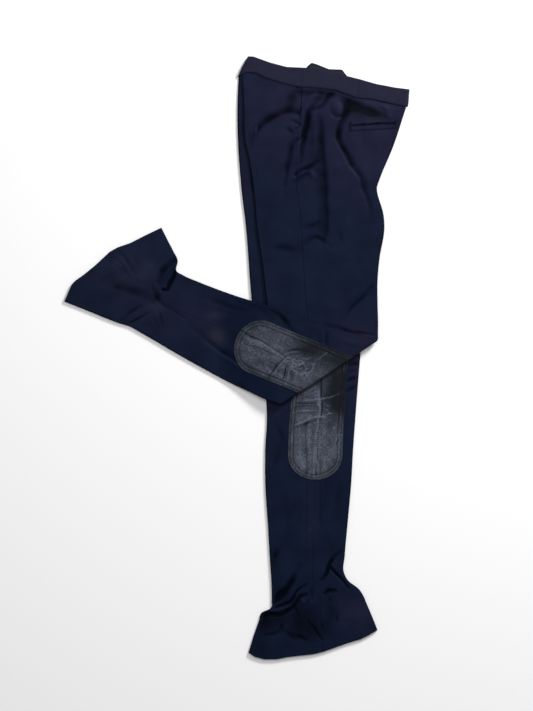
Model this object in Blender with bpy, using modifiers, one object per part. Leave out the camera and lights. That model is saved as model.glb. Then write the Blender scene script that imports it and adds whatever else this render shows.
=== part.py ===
"""Riding breeches with bell hems and suede knee patches, laid out flat on their right side.

The wearer's right half lies on the surface. The left half lies on it, outer side up, and its lower leg is
folded back over the thigh at the knee. +X is towards the seat, +Y towards the waist and +Z up. The origin is
under the middle of the garment, on the surface that it lies on.

Each half is a flattened tube. A table gives its front and back edges station by station, and every point of
a panel, band, patch or pocket piece is a point of that tube, found from its place down and round it.
"""
import math

import bmesh
import bpy
import numpy as np

MM = 0.001            # the sizes below are in millimetres
MIDDLE = (-1.6, 0.9)  # middle of the garment's box, in the places that the tables below use

# Walls of cloth and the gap between two pieces
WALL = 1.2            # gabardine
BAND_WALL = 1.6       # waistband: cloth and interlining
LINING_WALL = 1.0
PATCH_WALL = 1.0      # suede
JET_WALL = 1.0
SEAM = 0.3

# A flattened half: how high it stands, by its place down the garment, and where its seams run
HALF_HEIGHT = ((-600, 5.5), (200, 5.5), (330, 5.0), (470, 4.8), (530, 3.6))   # y, height
EDGE_ROUND = 2.6      # how far in from its edge a half is rounded
OUTSEAM = 0.37        # outer seam, as a share of the width from the front edge
INSEAM_LEFT = 0.53
INSEAM_RIGHT = 0.575

# Above the crotch a half has its outer layer only, turned in a little along the fly and the seat seam
CROTCH_TOP = 325
CROTCH_BOTTOM = 262
FLY_TURN = 20
SEAT_TURN = 8

# The fold at the knee: a line across the left leg laid straight, and the room left inside the fold
FOLD_FRONT = (85.5, -91.2)
FOLD_BACK = (271.7, 32.3)
FOLD_ROOM = 0.8
FOLD_CALM = (10, 45)      # folds of the cloth fade out between these distances from the fold line
FALL_LENGTH = 112         # how far the folded leg runs, past the thigh, until it lies on the surface
PATCH_ROOM = ((-600, 2.7), (95, 2.7), (180, 0.0))   # y, how far the two patches lift the left leg
OVERHANG_FALL = 3.5       # how far the left leg sinks past the right leg's back edge,
OVERHANG = (14, 58)       # between these distances from it

# Stations down each half, waist to hem, with the leg laid straight: front edge x, y, back edge x, y,
# dip of the middle below the ends, and grid rows from the station above
RIGHT_STATIONS = (
    (2, 533.1, 320, 474, 0, 0),
    (0, 470, 297, 404, 0, 4),
    (2, 392, 272, 344, 0, 4),
    (8, 318, 263, 314, 0, 3),
    (15, 260, 258, 262, 0, 3),
    (28, 103, 241, 106, 0, 5),
    (40, 20, 234, 12, 0, 3),
    (54, -75, 227, -75, 0, 4),
    (56, -115, 224, -115, 0, 2),
    (53, -171, 220, -171, 0, 3),
    (53, -240, 216, -240, 0, 3),
    (58, -320, 209, -318, 0, 4),
    (62, -388, 204, -375, 0, 3),
    (65, -440, 203, -410, 2, 3),
    (64, -461, 211, -424, 4, 1),
    (53, -477, 232, -441, 8, 1),
    (43, -493, 243, -460, 13, 1),
    (32, -522, 254, -487, 19, 1),
    (21, -560, 266, -517, 26, 2),
)
LEFT_STATIONS = (
    (11, 534.2, 321, 475.1, 0, 0),
    (11.5, 480, 305, 429, 0, 4),
    (13, 419, 285, 376, 0, 4),
    (21, 380, 272, 344, 0, 3),
    (30, 320, 265, 317, 0, 3),
    (33, 285, 277, 273, 0, 2),
    (36, 250, 279, 247, 0, 2),
    (46, 182, 270, 190, 0, 3),
    (55, 106, 266, 146, 0, 4),
    (65, 30, 266, 105, 0, 3),
    (76, -40, 267, 66, 0, 3),
    (83.5, -84, 268, 38, 0, 2),
    (85.5, -101, 268.5, 21, 0, 8),
    (84, -122, 265, -1, 0, 2),
    (85, -155, 262, -42, 0, 3),
    (87, -205, 254, -110, 0, 5),
    (92, -258, 250, -185, 0, 4),
    (98, -312, 243, -255, 0, 3),
    (105, -365, 240, -330, 0, 3),
    (109, -398, 242, -366, 0, 2),
    (111, -418, 250, -376, 2, 1),
    (109, -437, 262, -381, 5, 1),
    (108, -462, 275, -396, 9, 1),
    (107.5, -500, 290, -414, 17, 2),
    (106.5, -549.6, 307.5, -434.5, 27, 2),
)
DIP_FULLNESS = 0.6    # a dip runs across its row as a sine to this power

# Waistband: the seam edge and the top edge of each half, front x, y, back x, y, and how each line waves
LEFT_BAND_SEAM = (4, 535.5, 321.5, 475)
LEFT_BAND_TOP = (19, 572, 327.8, 509.2)
RIGHT_BAND_SEAM = (0, 533.5, 320, 474)
RIGHT_BAND_TOP = (21, 566, 326.5, 508)
SEAM_WAVE = ((4, 0), (20, 8.5), (37, 9.8), (51, 4.5), (94, -0.4), (121, -0.6), (156, 4.4), (189, 5.8),
             (227, -1), (253, 2), (321, 0))
LEFT_TOP_WAVE = ((19, 0), (30, 2), (62, -3), (93, -5), (131, 1), (210, 1), (232, 0), (278, -4), (328, 0))
RIGHT_TOP_WAVE = ((21, 0), (110, 0), (131, 4), (141, 13), (155, 11), (174, 8), (199, 13), (206, 4), (232, 0),
                  (327, 0))
WAVE_FADE = 75        # how far below the seam the panels still follow its wave
BAND_SEAMS = (0.37, 0.71)    # seams that join the left band's three pieces, as shares of its width
BAND_TUCK = 4         # how far the left panels reach up under the band
BAND_SINK = 3.2       # how far the band's top edge lies below its seam edge
BAND_ROWS = (0, 0.2, 0.6, 1)
BAND_ROUND = 5        # at the band's two ends its edge turns this far in, by this angle
BAND_CURL = math.pi / 3
WAIST_CALM = (6, 30)  # folds fade out between these distances from the waist seam
LINING_INSET = 5      # from the band's ends to the lining's

# Side pocket: how far the front panel is cut back from the outer seam, and the facing behind the cut
POCKET_CUT = ((440, 0), (455, 1), (468, 11), (484, 15), (500, 13), (535, 7))   # y, cut
FACING_ACROSS = (-19, -9, 0, 6)      # from the outer seam
FACING_ROWS = (0, 6)                 # of the left half's grid
FACING_DEPTH = 0.5                   # below the panel's inner face

# Back pocket: left end, right end, each jet's depth and the mouth between them
POCKET_LEFT = (209, 440.5)
POCKET_RIGHT = (299, 444)
JET_DEPTH = 8.6
JET_MOUTH = 1.2

# Knee patches: centre x, y at the ends' springing and between, tilt of the row against the fold, grid rows
PATCH_WIDTH = 107
PATCH_END = 46        # length of each rounded end
END_ROWS = (0.35, 0.65, 0.86, 0.97)
PATCH_RIGHT = ((146, 20, 0, 0), (147, -40, 0, 3), (148.5, -100, 0, 3), (148.5, -186, 0, 4))
PATCH_LEFT = ((171, 35, 0.45, 0), (171, -26.2, 1, 3), (171, -44, 1, 8), (171, -85, 0.7, 4),
              (170.5, -130, 0.35, 4), (170, -171, 0, 4))

# Soft folds of the cloth that faces up, where they lie on the garment: path, half width, height (trough -)
LEFT_FOLDS = (
    (((28, 419), (37, 435), (53, 452), (72, 465), (100, 468)), 15, -3.0),
    (((141, 478), (132, 450), (123, 419), (121, 398), (114, 366)), 17, -3.8),
    (((116, 411), (102, 404), (96, 370), (87, 310)), 15, -2.4),
    (((152, 500), (150, 474)), 18, 3.0),
    (((190, 508), (170, 496), (160, 478), (146, 470)), 13, -2.6),
    (((190, 484), (189, 474)), 22, 3.6),
    (((176, 474), (182, 461), (191, 456), (204, 462), (212, 478)), 13, -3.0),
    (((199, 455), (190, 420), (203, 393), (228, 353), (247, 310), (256, 277)), 17, -4.0),
    (((158, 462), (160, 380), (160, 247)), 22, -1.6),
    (((199, 82), (218, 110), (253, 133)), 18, -2.0),
)
FOLDED_FOLDS = (
    (((-120, 163), (-140, 128)), 15, -2.4),
    (((-156, 125), (-142, 101)), 13, -1.8),
    (((-224, 68), (-175, 101)), 14, -1.8),
    (((-141, 91), (-93, 59), (-42, 11)), 15, 1.4),
)
RIGHT_FOLDS = (
    (((53, -483), (91, -475), (120, -441)), 14, -2.3),
    (((115, -395), (99, -422), (66, -464)), 15, -2.2),
    (((203, -367), (175, -389), (158, -422)), 14, -2.2),
    (((175, -389), (196, -420), (213, -438)), 13, -1.8),
    (((168, -318), (181, -362)), 15, 1.6),
    (((128, -488), (150, -530)), 16, 1.8),
)
FOLD_END_SHARE = 0.35     # what is left of a fold's height at its ends
EDGE_CALM = (3, 28)       # folds fade out between these distances from an edge

# Grid: cells across a layer and round an edge
BEND_CELLS = 3
LEFT_CELLS = {"front": (6, 4), "back": (8, 4)}      # outer layer, inner layer
RIGHT_CELLS = {"front": (2, 6), "back": (2, 5)}
BAND_COLUMNS = 18     # over the whole width of the waistband
JET_CELLS = 5
PATCH_CELLS = 7

# Colours, linear
NAVY = (0.0095, 0.0115, 0.0250)
NAVY_BAND = (0.0140, 0.0150, 0.0300)
LINING_GREY = (0.0160, 0.0190, 0.0210)
SUEDE = (0.0450, 0.0500, 0.0650)


def ease(value, start, end):
    """Smooth step from 0 at start to 1 at end."""
    t = np.clip((value - start) / (end - start), 0, 1)
    return t * t * (3 - 2 * t)


def table_value(table, value):
    """The second column of a table, read at a value of its first."""
    rows = np.array(table, float)
    return np.interp(value, rows[:, 0], rows[:, 1])


def edge_x(stations, y, column):
    """How far out the front (column 0) or back (column 2) edge lies at a height."""
    rows = np.array(stations, float)
    return np.interp(-y, -rows[:, column + 1], rows[:, column])


def half_height(y):
    return table_value(HALF_HEIGHT, y)


def spread_rows(stations):
    """Rows on a smooth curve through a table's stations, with the table's count between each two."""
    data = np.array(stations, float)
    values, counts = data[:, :-1], data[:, -1].astype(int)
    middle = values[:, 0:2] if values.shape[1] < 4 else (values[:, 0:2] + values[:, 2:4]) / 2
    knots = np.concatenate(([0], np.cumsum(np.linalg.norm(np.diff(middle, axis=0), axis=1))))
    slopes = np.gradient(values, knots, axis=0)
    rows = [values[0]]
    for i, count in enumerate(counts[1:]):
        length = knots[i + 1] - knots[i]
        for t in np.arange(1, count + 1) / count:
            rows.append((1 + 2 * t) * (1 - t) ** 2 * values[i] + t * (1 - t) ** 2 * length * slopes[i]
                        + t * t * (3 - 2 * t) * values[i + 1] + t * t * (t - 1) * length * slopes[i + 1])
    return np.array(rows)


def path_lift(x, y, path, half_width, height):
    """One soft ridge or trough along a path, fading to its sides and towards its ends."""
    points = np.array(path, float)
    lengths = np.linalg.norm(np.diff(points, axis=0), axis=1)
    nearest = np.full(np.shape(x), np.inf)
    place = np.zeros(np.shape(x))
    done = 0.0
    for start, end, length in zip(points[:-1], points[1:], lengths):
        way = (end - start) / length
        along = np.clip((x - start[0]) * way[0] + (y - start[1]) * way[1], 0, length)
        away = np.hypot(x - start[0] - along * way[0], y - start[1] - along * way[1])
        place = np.where(away < nearest, done + along, place)
        nearest = np.minimum(nearest, away)
        done += length
    middle = FOLD_END_SHARE + (1 - FOLD_END_SHARE) * np.sin(math.pi * place / done)
    return height * middle * (1 - ease(nearest, 0, half_width))


def crotch_share(y):
    """How far the inner layer reaches from its edge to the inner seam, down the curve of the crotch."""
    t = np.clip((CROTCH_TOP - y) / (CROTCH_TOP - CROTCH_BOTTOM), 0, 1)
    return 1 - math.sqrt(1 - t * t)


class RightHalf:
    """The half that lies on the surface: outer layer underneath, inner layer on top."""
    stations = RIGHT_STATIONS
    inseam = INSEAM_RIGHT
    outer_turn = math.pi
    seam_wave = ((0, 0), (330, 0))
    tuck = -SEAM / 2
    cells = RIGHT_CELLS

    def folds(self, flat, x, y, upward):
        lift = sum(path_lift(x, y, *fold) for fold in RIGHT_FOLDS)
        return np.where(upward > 0, lift, 0)

    def settle(self, flat, height):
        return np.column_stack((flat, height))


class LeftHalf:
    """The half on top: outer layer up, lower leg folded back over the thigh."""
    stations = LEFT_STATIONS
    inseam = INSEAM_LEFT
    outer_turn = 0.0
    seam_wave = SEAM_WAVE
    tuck = BAND_TUCK
    cells = LEFT_CELLS

    def __init__(self):
        front, back = np.array(FOLD_FRONT), np.array(FOLD_BACK)
        along = (back - front) / np.linalg.norm(back - front)
        self.down = np.array((along[1], -along[0]))      # across the fold line, down the leg
        self.radius = half_height(0) + FOLD_ROOM         # from the fold's axis to the leg's far face

    def past_fold(self, flat):
        return (flat - np.array(FOLD_FRONT)) @ self.down

    def folds(self, flat, x, y, upward):
        past = self.past_fold(flat)
        top = sum(path_lift(x, y, *fold) for fold in LEFT_FOLDS)
        under = sum(path_lift(x, y, *fold) for fold in FOLDED_FOLDS)
        lift = np.where(past > 0, np.where(upward < 0, under, 0), np.where(upward > 0, top, 0))
        return lift * ease(np.abs(past), *FOLD_CALM)

    def settle(self, flat, height):
        """Fold the straight leg at the knee, and let it lie on what is under it."""
        radius = self.radius
        past = self.past_fold(flat) + radius
        angle = np.clip(past * math.pi / (2 * radius), 0, math.pi)
        arm = radius - height
        moved = np.where(past < 0, past, np.where(past < 2 * radius, arm * np.sin(angle), 2 * radius - past))
        flat = flat + self.down * (moved - past)[:, None]
        x, y = flat[:, 0], flat[:, 1]
        sunk = OVERHANG_FALL * ease(x - edge_x(RIGHT_STATIONS, y, 2), *OVERHANG)
        base = half_height(y) + SEAM + table_value(PATCH_ROOM, y) - sunk
        folded_base = base + 2 * radius - half_height(0)
        thigh_front = np.where(y > FOLD_FRONT[1], edge_x(LEFT_STATIONS, y, 0), FOLD_FRONT[0])
        fallen = ease(thigh_front - x, 0, FALL_LENGTH) * folded_base * (1 - np.cos(angle)) / 2
        z = base + np.where(past < 0, height, radius - arm * np.cos(angle)) - fallen
        return np.column_stack((x, y, z))


def waist_y(half, x):
    """Where the waist seam runs."""
    top = half.stations[0]
    return top[1] + (x - top[0]) * (top[3] - top[1]) / (top[2] - top[0]) + table_value(half.seam_wave, x)


def on_half(half, flat, turn, out):
    """Points of a half from their places on it laid straight, how far round its edge each lies (0 on top, pi
    underneath), and how far outside its cloth."""
    front = edge_x(half.stations, flat[:, 1], 0)
    back = edge_x(half.stations, flat[:, 1], 2)
    upward = np.cos(turn)
    height = half_height(flat[:, 1])
    rise = height / 2 * (1 + upward)
    plain = half.settle(flat, rise)
    calm = ease(flat[:, 0] - front, *EDGE_CALM) * ease(back - flat[:, 0], *EDGE_CALM)
    calm = calm * ease(waist_y(half, flat[:, 0]) - flat[:, 1], *WAIST_CALM)
    lift = half.folds(flat, plain[:, 0], plain[:, 1], upward) * calm + out
    side = np.sin(turn) * np.where(flat[:, 0] < (front + back) / 2, -1, 1)
    return half.settle(flat + np.column_stack((side * out, 0 * side)), rise + lift * upward)


def row_points(half, row, across, turn, drop, out):
    """Points along one row of a half, each so far across it and dropped so far down the garment."""
    front, back = row[0:2], row[2:4]
    flat = front + (back - front) * (across / np.linalg.norm(back - front))[:, None]
    flat[:, 1] -= drop(flat[:, 0], across)
    return on_half(half, flat, turn, out)


def front_columns(half, row):
    """Across and turn of a front panel's columns: outer seam, outer layer, front edge, inner layer."""
    width = np.linalg.norm(row[2:4] - row[0:2])
    seam = OUTSEAM * width - SEAM / 2
    if half.outer_turn == 0:
        seam -= table_value(POCKET_CUT, row[1] - OUTSEAM * (row[1] - row[3]))
    inner_end = FLY_TURN + (half.inseam * width - SEAM / 2 - FLY_TURN) * crotch_share(row[1])
    return edge_columns(half, seam, inner_end, half.cells["front"])


def back_columns(half, row):
    """The same for a back panel, from the inner seam round the back edge to the outer seam."""
    width = np.linalg.norm(row[2:4] - row[0:2])
    seam = (1 - OUTSEAM) * width - SEAM / 2
    inner_end = SEAT_TURN + ((1 - half.inseam) * width - SEAM / 2 - SEAT_TURN) * crotch_share(row[3])
    across, turn = edge_columns(half, seam, inner_end, half.cells["back"])
    return width - across[::-1], turn[::-1]


def edge_columns(half, seam, inner_end, cells):
    """Distance from the edge and turn, from the outer seam round the edge to the end of the inner layer."""
    outer, inner = cells
    start, end = half.outer_turn, math.pi - half.outer_turn
    bend = np.linspace(start, end, BEND_CELLS + 1)
    across = np.concatenate((np.linspace(seam, EDGE_ROUND, outer + 1),
                             EDGE_ROUND * (1 - np.sin(bend[1:-1])),
                             np.linspace(EDGE_ROUND, inner_end, inner + 1)))
    turn = np.concatenate((np.full(outer + 1, start), bend[1:-1], np.full(inner + 1, end)))
    return across, turn


def panel_grid(half, columns):
    """Points of a leg panel, row by row from the waist seam to the hem."""
    rows = spread_rows(half.stations)
    top = rows[0]
    grid = []
    for row in rows:
        width = np.linalg.norm(row[2:4] - row[0:2])
        wave = 1 - ease(top[1] - row[1], 0, WAVE_FADE)

        def drop(x, across):
            dip = np.sin(math.pi * np.clip(across / width, 0, 1)) ** DIP_FULLNESS
            return row[4] * dip - wave * (half.tuck + table_value(half.seam_wave, x))
        across, turn = columns(half, row)
        grid.append(row_points(half, row, across, turn, drop, 0))
    return np.array(grid)


def band_grid(half, seam_ends, top_ends, top_wave, columns, out):
    """Points of a stretch of waistband, from its seam edge to its top edge."""
    grid = []
    for f in BAND_ROWS:
        row = np.array(seam_ends, float) * (1 - f) + np.array(top_ends, float) * f

        def drop(x, across):
            return -(SEAM / 2 + table_value(half.seam_wave, x)) * (1 - f) - table_value(top_wave, x) * f
        across, turn = columns(np.linalg.norm(row[2:4] - row[0:2]))
        grid.append(row_points(half, row, across, turn, drop, out(f)))
    return np.array(grid)


def curled(width, shares, start, front_end, back_end):
    """Columns of a band between two shares of its width, with its ends curled towards the other half."""
    first = BAND_ROUND if front_end else shares[0] * width + SEAM / 2
    last = width - BAND_ROUND if back_end else shares[1] * width - SEAM / 2
    cells = round((shares[1] - shares[0]) * BAND_COLUMNS)
    across, turn = np.linspace(first, last, cells + 1), np.full(cells + 1, start)
    bend = np.array((0.5, 1)) * BAND_CURL
    edge = BAND_ROUND * (1 - np.sin(bend) / math.sin(BAND_CURL))
    bend = np.abs(start - bend)
    if front_end:
        across = np.concatenate((edge[::-1], across))
        turn = np.concatenate((bend[::-1], turn))
    if back_end:
        across = np.concatenate((across, width - edge))
        turn = np.concatenate((turn, bend))
    return across, turn


def lining_columns(width):
    across = np.linspace(LINING_INSET, width - LINING_INSET, BAND_COLUMNS + 1)
    return across, np.full(len(across), math.pi)


def facing_grid(rows):
    """Points of the side pocket's facing, along the outer seam and below the front panel's inner face."""
    grid = []
    for row in rows:
        across = OUTSEAM * np.linalg.norm(row[2:4] - row[0:2]) + np.array(FACING_ACROSS, float)
        grid.append(row_points(left, row, across, np.zeros(len(across)), lambda x, a: 0,
                               -(WALL + SEAM + FACING_DEPTH)))
    return np.array(grid)


def patch_rows(centres):
    """Rows of a knee patch, rounded at both ends: front x, y, back x, y."""
    centres = spread_rows(centres)
    tilt = (FOLD_BACK[1] - FOLD_FRONT[1]) / (FOLD_BACK[0] - FOLD_FRONT[0])
    rows = []

    def add(x, y, share, half_width):
        rise = tilt * share * half_width
        rows.append((x - half_width, y - rise, x + half_width, y + rise))
    top, bottom = centres[0], centres[-1]
    for f in END_ROWS[::-1]:
        add(top[0], top[1] + PATCH_END * f, top[2], PATCH_WIDTH / 2 * math.sqrt(1 - f * f))
    for x, y, share in centres:
        add(x, y, share, PATCH_WIDTH / 2)
    for f in END_ROWS:
        add(bottom[0], bottom[1] - PATCH_END * f, bottom[2], PATCH_WIDTH / 2 * math.sqrt(1 - f * f))
    return rows


def flat_grid(half, rows, cells, turn, out):
    """Points of a piece that lies on a half, from the ends of its rows on the half laid straight."""
    grid = []
    for row in rows:
        ends = np.array(row, float)
        flat = ends[0:2] + (ends[2:4] - ends[0:2]) * np.linspace(0, 1, cells + 1)[:, None]
        grid.append(on_half(half, flat, np.full(cells + 1, turn), out))
    return np.array(grid)


def cloth(name, grid, wall, paint, turned=False):
    """A piece of cloth: a grid of points on its outer face with a wall behind it. turned: the grid runs the
    other way round."""
    rows, columns = grid.shape[:2]
    mesh = bpy.data.meshes.new(name)
    bm = bmesh.new()
    bmesh.ops.create_grid(bm, x_segments=columns - 1, y_segments=rows - 1, size=0.5)
    bm.verts.ensure_lookup_table()
    for vert, point in zip(bm.verts, grid.reshape(-1, 3)):
        vert.co = point * MM
    if turned:
        bmesh.ops.reverse_faces(bm, faces=bm.faces[:])
    bm.to_mesh(mesh)
    bm.free()
    mesh.shade_smooth()
    mesh.materials.append(paint)
    piece = bpy.data.objects.new(name, mesh)
    garment.objects.link(piece)
    piece.parent = origin
    wall_maker = piece.modifiers.new("wall", "SOLIDIFY")
    wall_maker.thickness = wall * MM
    wall_maker.offset = -1
    wall_maker.use_rim = True
    piece.modifiers.new("even shading", "WEIGHTED_NORMAL")


def paint(name, colour, roughness):
    material = bpy.data.materials.new(name)
    material.use_nodes = True
    shader = material.node_tree.nodes["Principled BSDF"]
    shader.inputs["Base Color"].default_value = (*colour, 1)
    shader.inputs["Roughness"].default_value = roughness
    shader.inputs["Metallic"].default_value = 0
    return material


for old in list(bpy.data.objects):
    bpy.data.objects.remove(old, do_unlink=True)
garment = bpy.data.collections.new("riding_breeches")
bpy.context.scene.collection.children.link(garment)
origin = bpy.data.objects.new("breeches_origin", None)
origin.location = (-MIDDLE[0] * MM, -MIDDLE[1] * MM, 0)
garment.objects.link(origin)

left, right = LeftHalf(), RightHalf()
twill = paint("navy gabardine", NAVY, 0.75)
band_cloth = paint("navy waistband cloth", NAVY_BAND, 0.7)
lining = paint("dark waistband lining", LINING_GREY, 0.85)
suede = paint("worn charcoal suede", SUEDE, 0.8)

# Leg panels
for half, side in ((left, "left"), (right, "right")):
    for part, columns in (("_front", front_columns), ("_back", back_columns)):
        cloth(side + part, panel_grid(half, columns), WALL, twill, turned=half is right)

# Waistband: three pieces on the left half, one on the right half with its lining
for part, shares, front_end, back_end in (("front", (0, BAND_SEAMS[0]), True, False),
                                          ("side", BAND_SEAMS, False, False),
                                          ("back", (BAND_SEAMS[1], 1), False, True)):
    grid = band_grid(left, LEFT_BAND_SEAM, LEFT_BAND_TOP, LEFT_TOP_WAVE,
                     lambda width: curled(width, shares, 0.0, front_end, back_end),
                     lambda f: SEAM + BAND_WALL - BAND_SINK * ease(f, BAND_ROWS[1], 1))
    cloth("waistband_left_" + part, grid, BAND_WALL, band_cloth)
grid = band_grid(right, RIGHT_BAND_SEAM, RIGHT_BAND_TOP, RIGHT_TOP_WAVE,
                 lambda width: curled(width, (0, 1), math.pi, True, True), lambda f: 0)
cloth("waistband_right", grid, BAND_WALL, band_cloth, turned=True)
grid = band_grid(right, RIGHT_BAND_SEAM, RIGHT_BAND_TOP, RIGHT_TOP_WAVE, lining_columns,
                 lambda f: -(BAND_WALL + SEAM + LINING_WALL))
cloth("waistband_right_lining", grid, LINING_WALL, lining)

# Side pocket facing and the two jets of the back pocket
rows = spread_rows(LEFT_STATIONS)[FACING_ROWS[0]:FACING_ROWS[1] + 1]
cloth("left_pocket_facing", facing_grid(rows), LINING_WALL, band_cloth, turned=True)
for part, side in (("upper", 1), ("lower", -1)):
    middle = side * (JET_MOUTH + JET_DEPTH) / 2
    rows = []
    for edge in (middle + JET_DEPTH / 2, middle - JET_DEPTH / 2):
        rows.append((POCKET_LEFT[0], POCKET_LEFT[1] + edge, POCKET_RIGHT[0], POCKET_RIGHT[1] + edge))
    cloth("left_pocket_jet_" + part, flat_grid(left, rows, JET_CELLS, 0.0, SEAM + JET_WALL), JET_WALL,
          twill, turned=True)

# Knee patches
cloth("knee_patch_right", flat_grid(right, patch_rows(PATCH_RIGHT), PATCH_CELLS, 0.0, SEAM + PATCH_WALL),
      PATCH_WALL, suede, turned=True)
cloth("knee_patch_left", flat_grid(left, patch_rows(PATCH_LEFT), PATCH_CELLS, math.pi, SEAM + PATCH_WALL),
      PATCH_WALL, suede)
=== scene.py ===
# Riding breeches of navy gabardine with suede knee patches and bell hems, laid flat on their right side.
# The wearer's left half lies on top, outer side up, and its lower leg is folded back over the thigh.
# Places are in millimetres on the table that they lie on: x to the seat, y to the waist, z up.
import math

import bpy
import numpy as np
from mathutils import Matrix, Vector


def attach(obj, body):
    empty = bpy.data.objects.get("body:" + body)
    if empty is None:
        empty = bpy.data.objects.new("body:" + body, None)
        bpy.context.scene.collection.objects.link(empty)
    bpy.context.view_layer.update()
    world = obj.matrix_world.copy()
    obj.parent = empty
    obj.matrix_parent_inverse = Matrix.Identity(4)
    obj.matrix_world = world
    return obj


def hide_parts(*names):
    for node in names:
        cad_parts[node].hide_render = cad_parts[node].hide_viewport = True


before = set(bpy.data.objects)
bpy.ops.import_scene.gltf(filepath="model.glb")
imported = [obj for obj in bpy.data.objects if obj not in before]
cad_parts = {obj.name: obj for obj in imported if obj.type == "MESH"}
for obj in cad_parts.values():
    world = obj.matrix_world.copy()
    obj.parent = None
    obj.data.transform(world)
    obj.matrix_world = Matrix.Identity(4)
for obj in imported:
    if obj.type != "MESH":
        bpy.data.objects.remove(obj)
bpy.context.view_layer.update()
bpy.context.scene.view_settings.view_transform = "Standard"

# ---------------------------------------------------------------------------------------------------------
# Right leg: a front and a back panel of wool gabardine, sewn along the outer seam and the inseam. It lies
# on the table with its outer side down, so its inner side shows below the knee, with the pressed inseam on
# it. The front panel's seam allowance runs on under the back panel.
MM = 0.001
MIDDLE = (-1.6, 0.9)      # where the frame's origin lies on the table
WALL = 1.2                # gabardine
SEAM = 0.3                # between two pieces
ROW_STEP = 3.0
FINE_STEP = 1.6           # down the leg, where a station asks for it
BEND_CELLS = 8            # round an edge
SMALL_STEP = 0.1          # out of the cloth's face, to tell which way it looks

# A flattened half: its height by its place down the garment, its rounded edge and its seams
HALF_HEIGHT = ((-600, 5.5), (200, 5.5), (330, 5.0), (470, 4.8), (530, 3.6))   # y, height
EDGE_ROUND = 2.6
OUTSEAM = ((200, 0.352), (330, 0.352), (440, 0.37))      # y, share of the width from the front edge
INSEAM_RIGHT = 0.575
CROTCH_TOP = 325          # above it a half has its outer layer only, turned in along the fly and the seat
CROTCH_BOTTOM = 262
FLY_TURN = 20
SEAT_TURN = 8
WAVE_FADE = 75            # how far below the waist seam the panels follow its wave
# The hem's wave: share across, share of its dip
HEM_RIGHT = ((0, 0), (0.045, 0.38), (0.12, 0.7), (0.22, 0.86), (0.3, 0.84), (0.38, 0.88), (0.5, 0.96),
             (0.58, 0.91), (0.7, 0.7), (0.77, 0.58), (0.87, 0.47), (0.94, 0.25), (1, 0))

# Edges at a seam: how far past the seam, how far above the cloth's face
LAPPED_UNDER = ((6.5, -1.7), (1.6, -1.6), (0.6, -1.35), (-0.1, -0.2), (-0.9, -0.04))
ROLLED_EDGE = ((0.3, -0.1), (-0.6, -0.03))
SEAM_FLAT = 2.2           # from here the cloth lies flat
MOUTH_OPEN = 3            # a front panel cut back this far at its outer seam has a free edge there
MOUTH_RAISED = 0.8        # and that edge is turned under so much less

# Stations: front edge x, y, back edge x, y, dip of the middle below the ends, rows' step
RIGHT_STATIONS = (
    (2, 533.1, 320, 474, 0, ROW_STEP),
    (0, 470, 297, 404, 0, ROW_STEP),
    (2, 392, 272, 344, 0, ROW_STEP),
    (8, 318, 263, 314, 0, ROW_STEP),
    (15, 260, 258, 262, 0, ROW_STEP),
    (28, 103, 241, 106, 0, ROW_STEP),
    (40, 20, 234, 12, 0, ROW_STEP),
    (54, -75, 227, -75, 0, ROW_STEP),
    (56, -115, 224, -115, 0, ROW_STEP),
    (53, -171, 220, -171, 0, ROW_STEP),
    (53, -240, 216, -240, 0, ROW_STEP),
    (58, -320, 209, -318, 0, ROW_STEP),
    (62, -388, 204, -375, 0, ROW_STEP),
    (65, -440, 203, -410, 2, FINE_STEP),
    (65, -461, 211, -424, 4, FINE_STEP),
    (61.5, -477, 232, -441, 7, FINE_STEP),
    (46.5, -484, 239, -452, 10, FINE_STEP),
    (41, -499, 245, -466, 14, FINE_STEP),
    (31, -528, 256, -492, 20, FINE_STEP),
    (21, -560, 266, -517, 26, FINE_STEP),
)
RIGHT_CELLS = {"front": (9, 54), "back": (14, 46)}     # outer layer, inner layer

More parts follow.
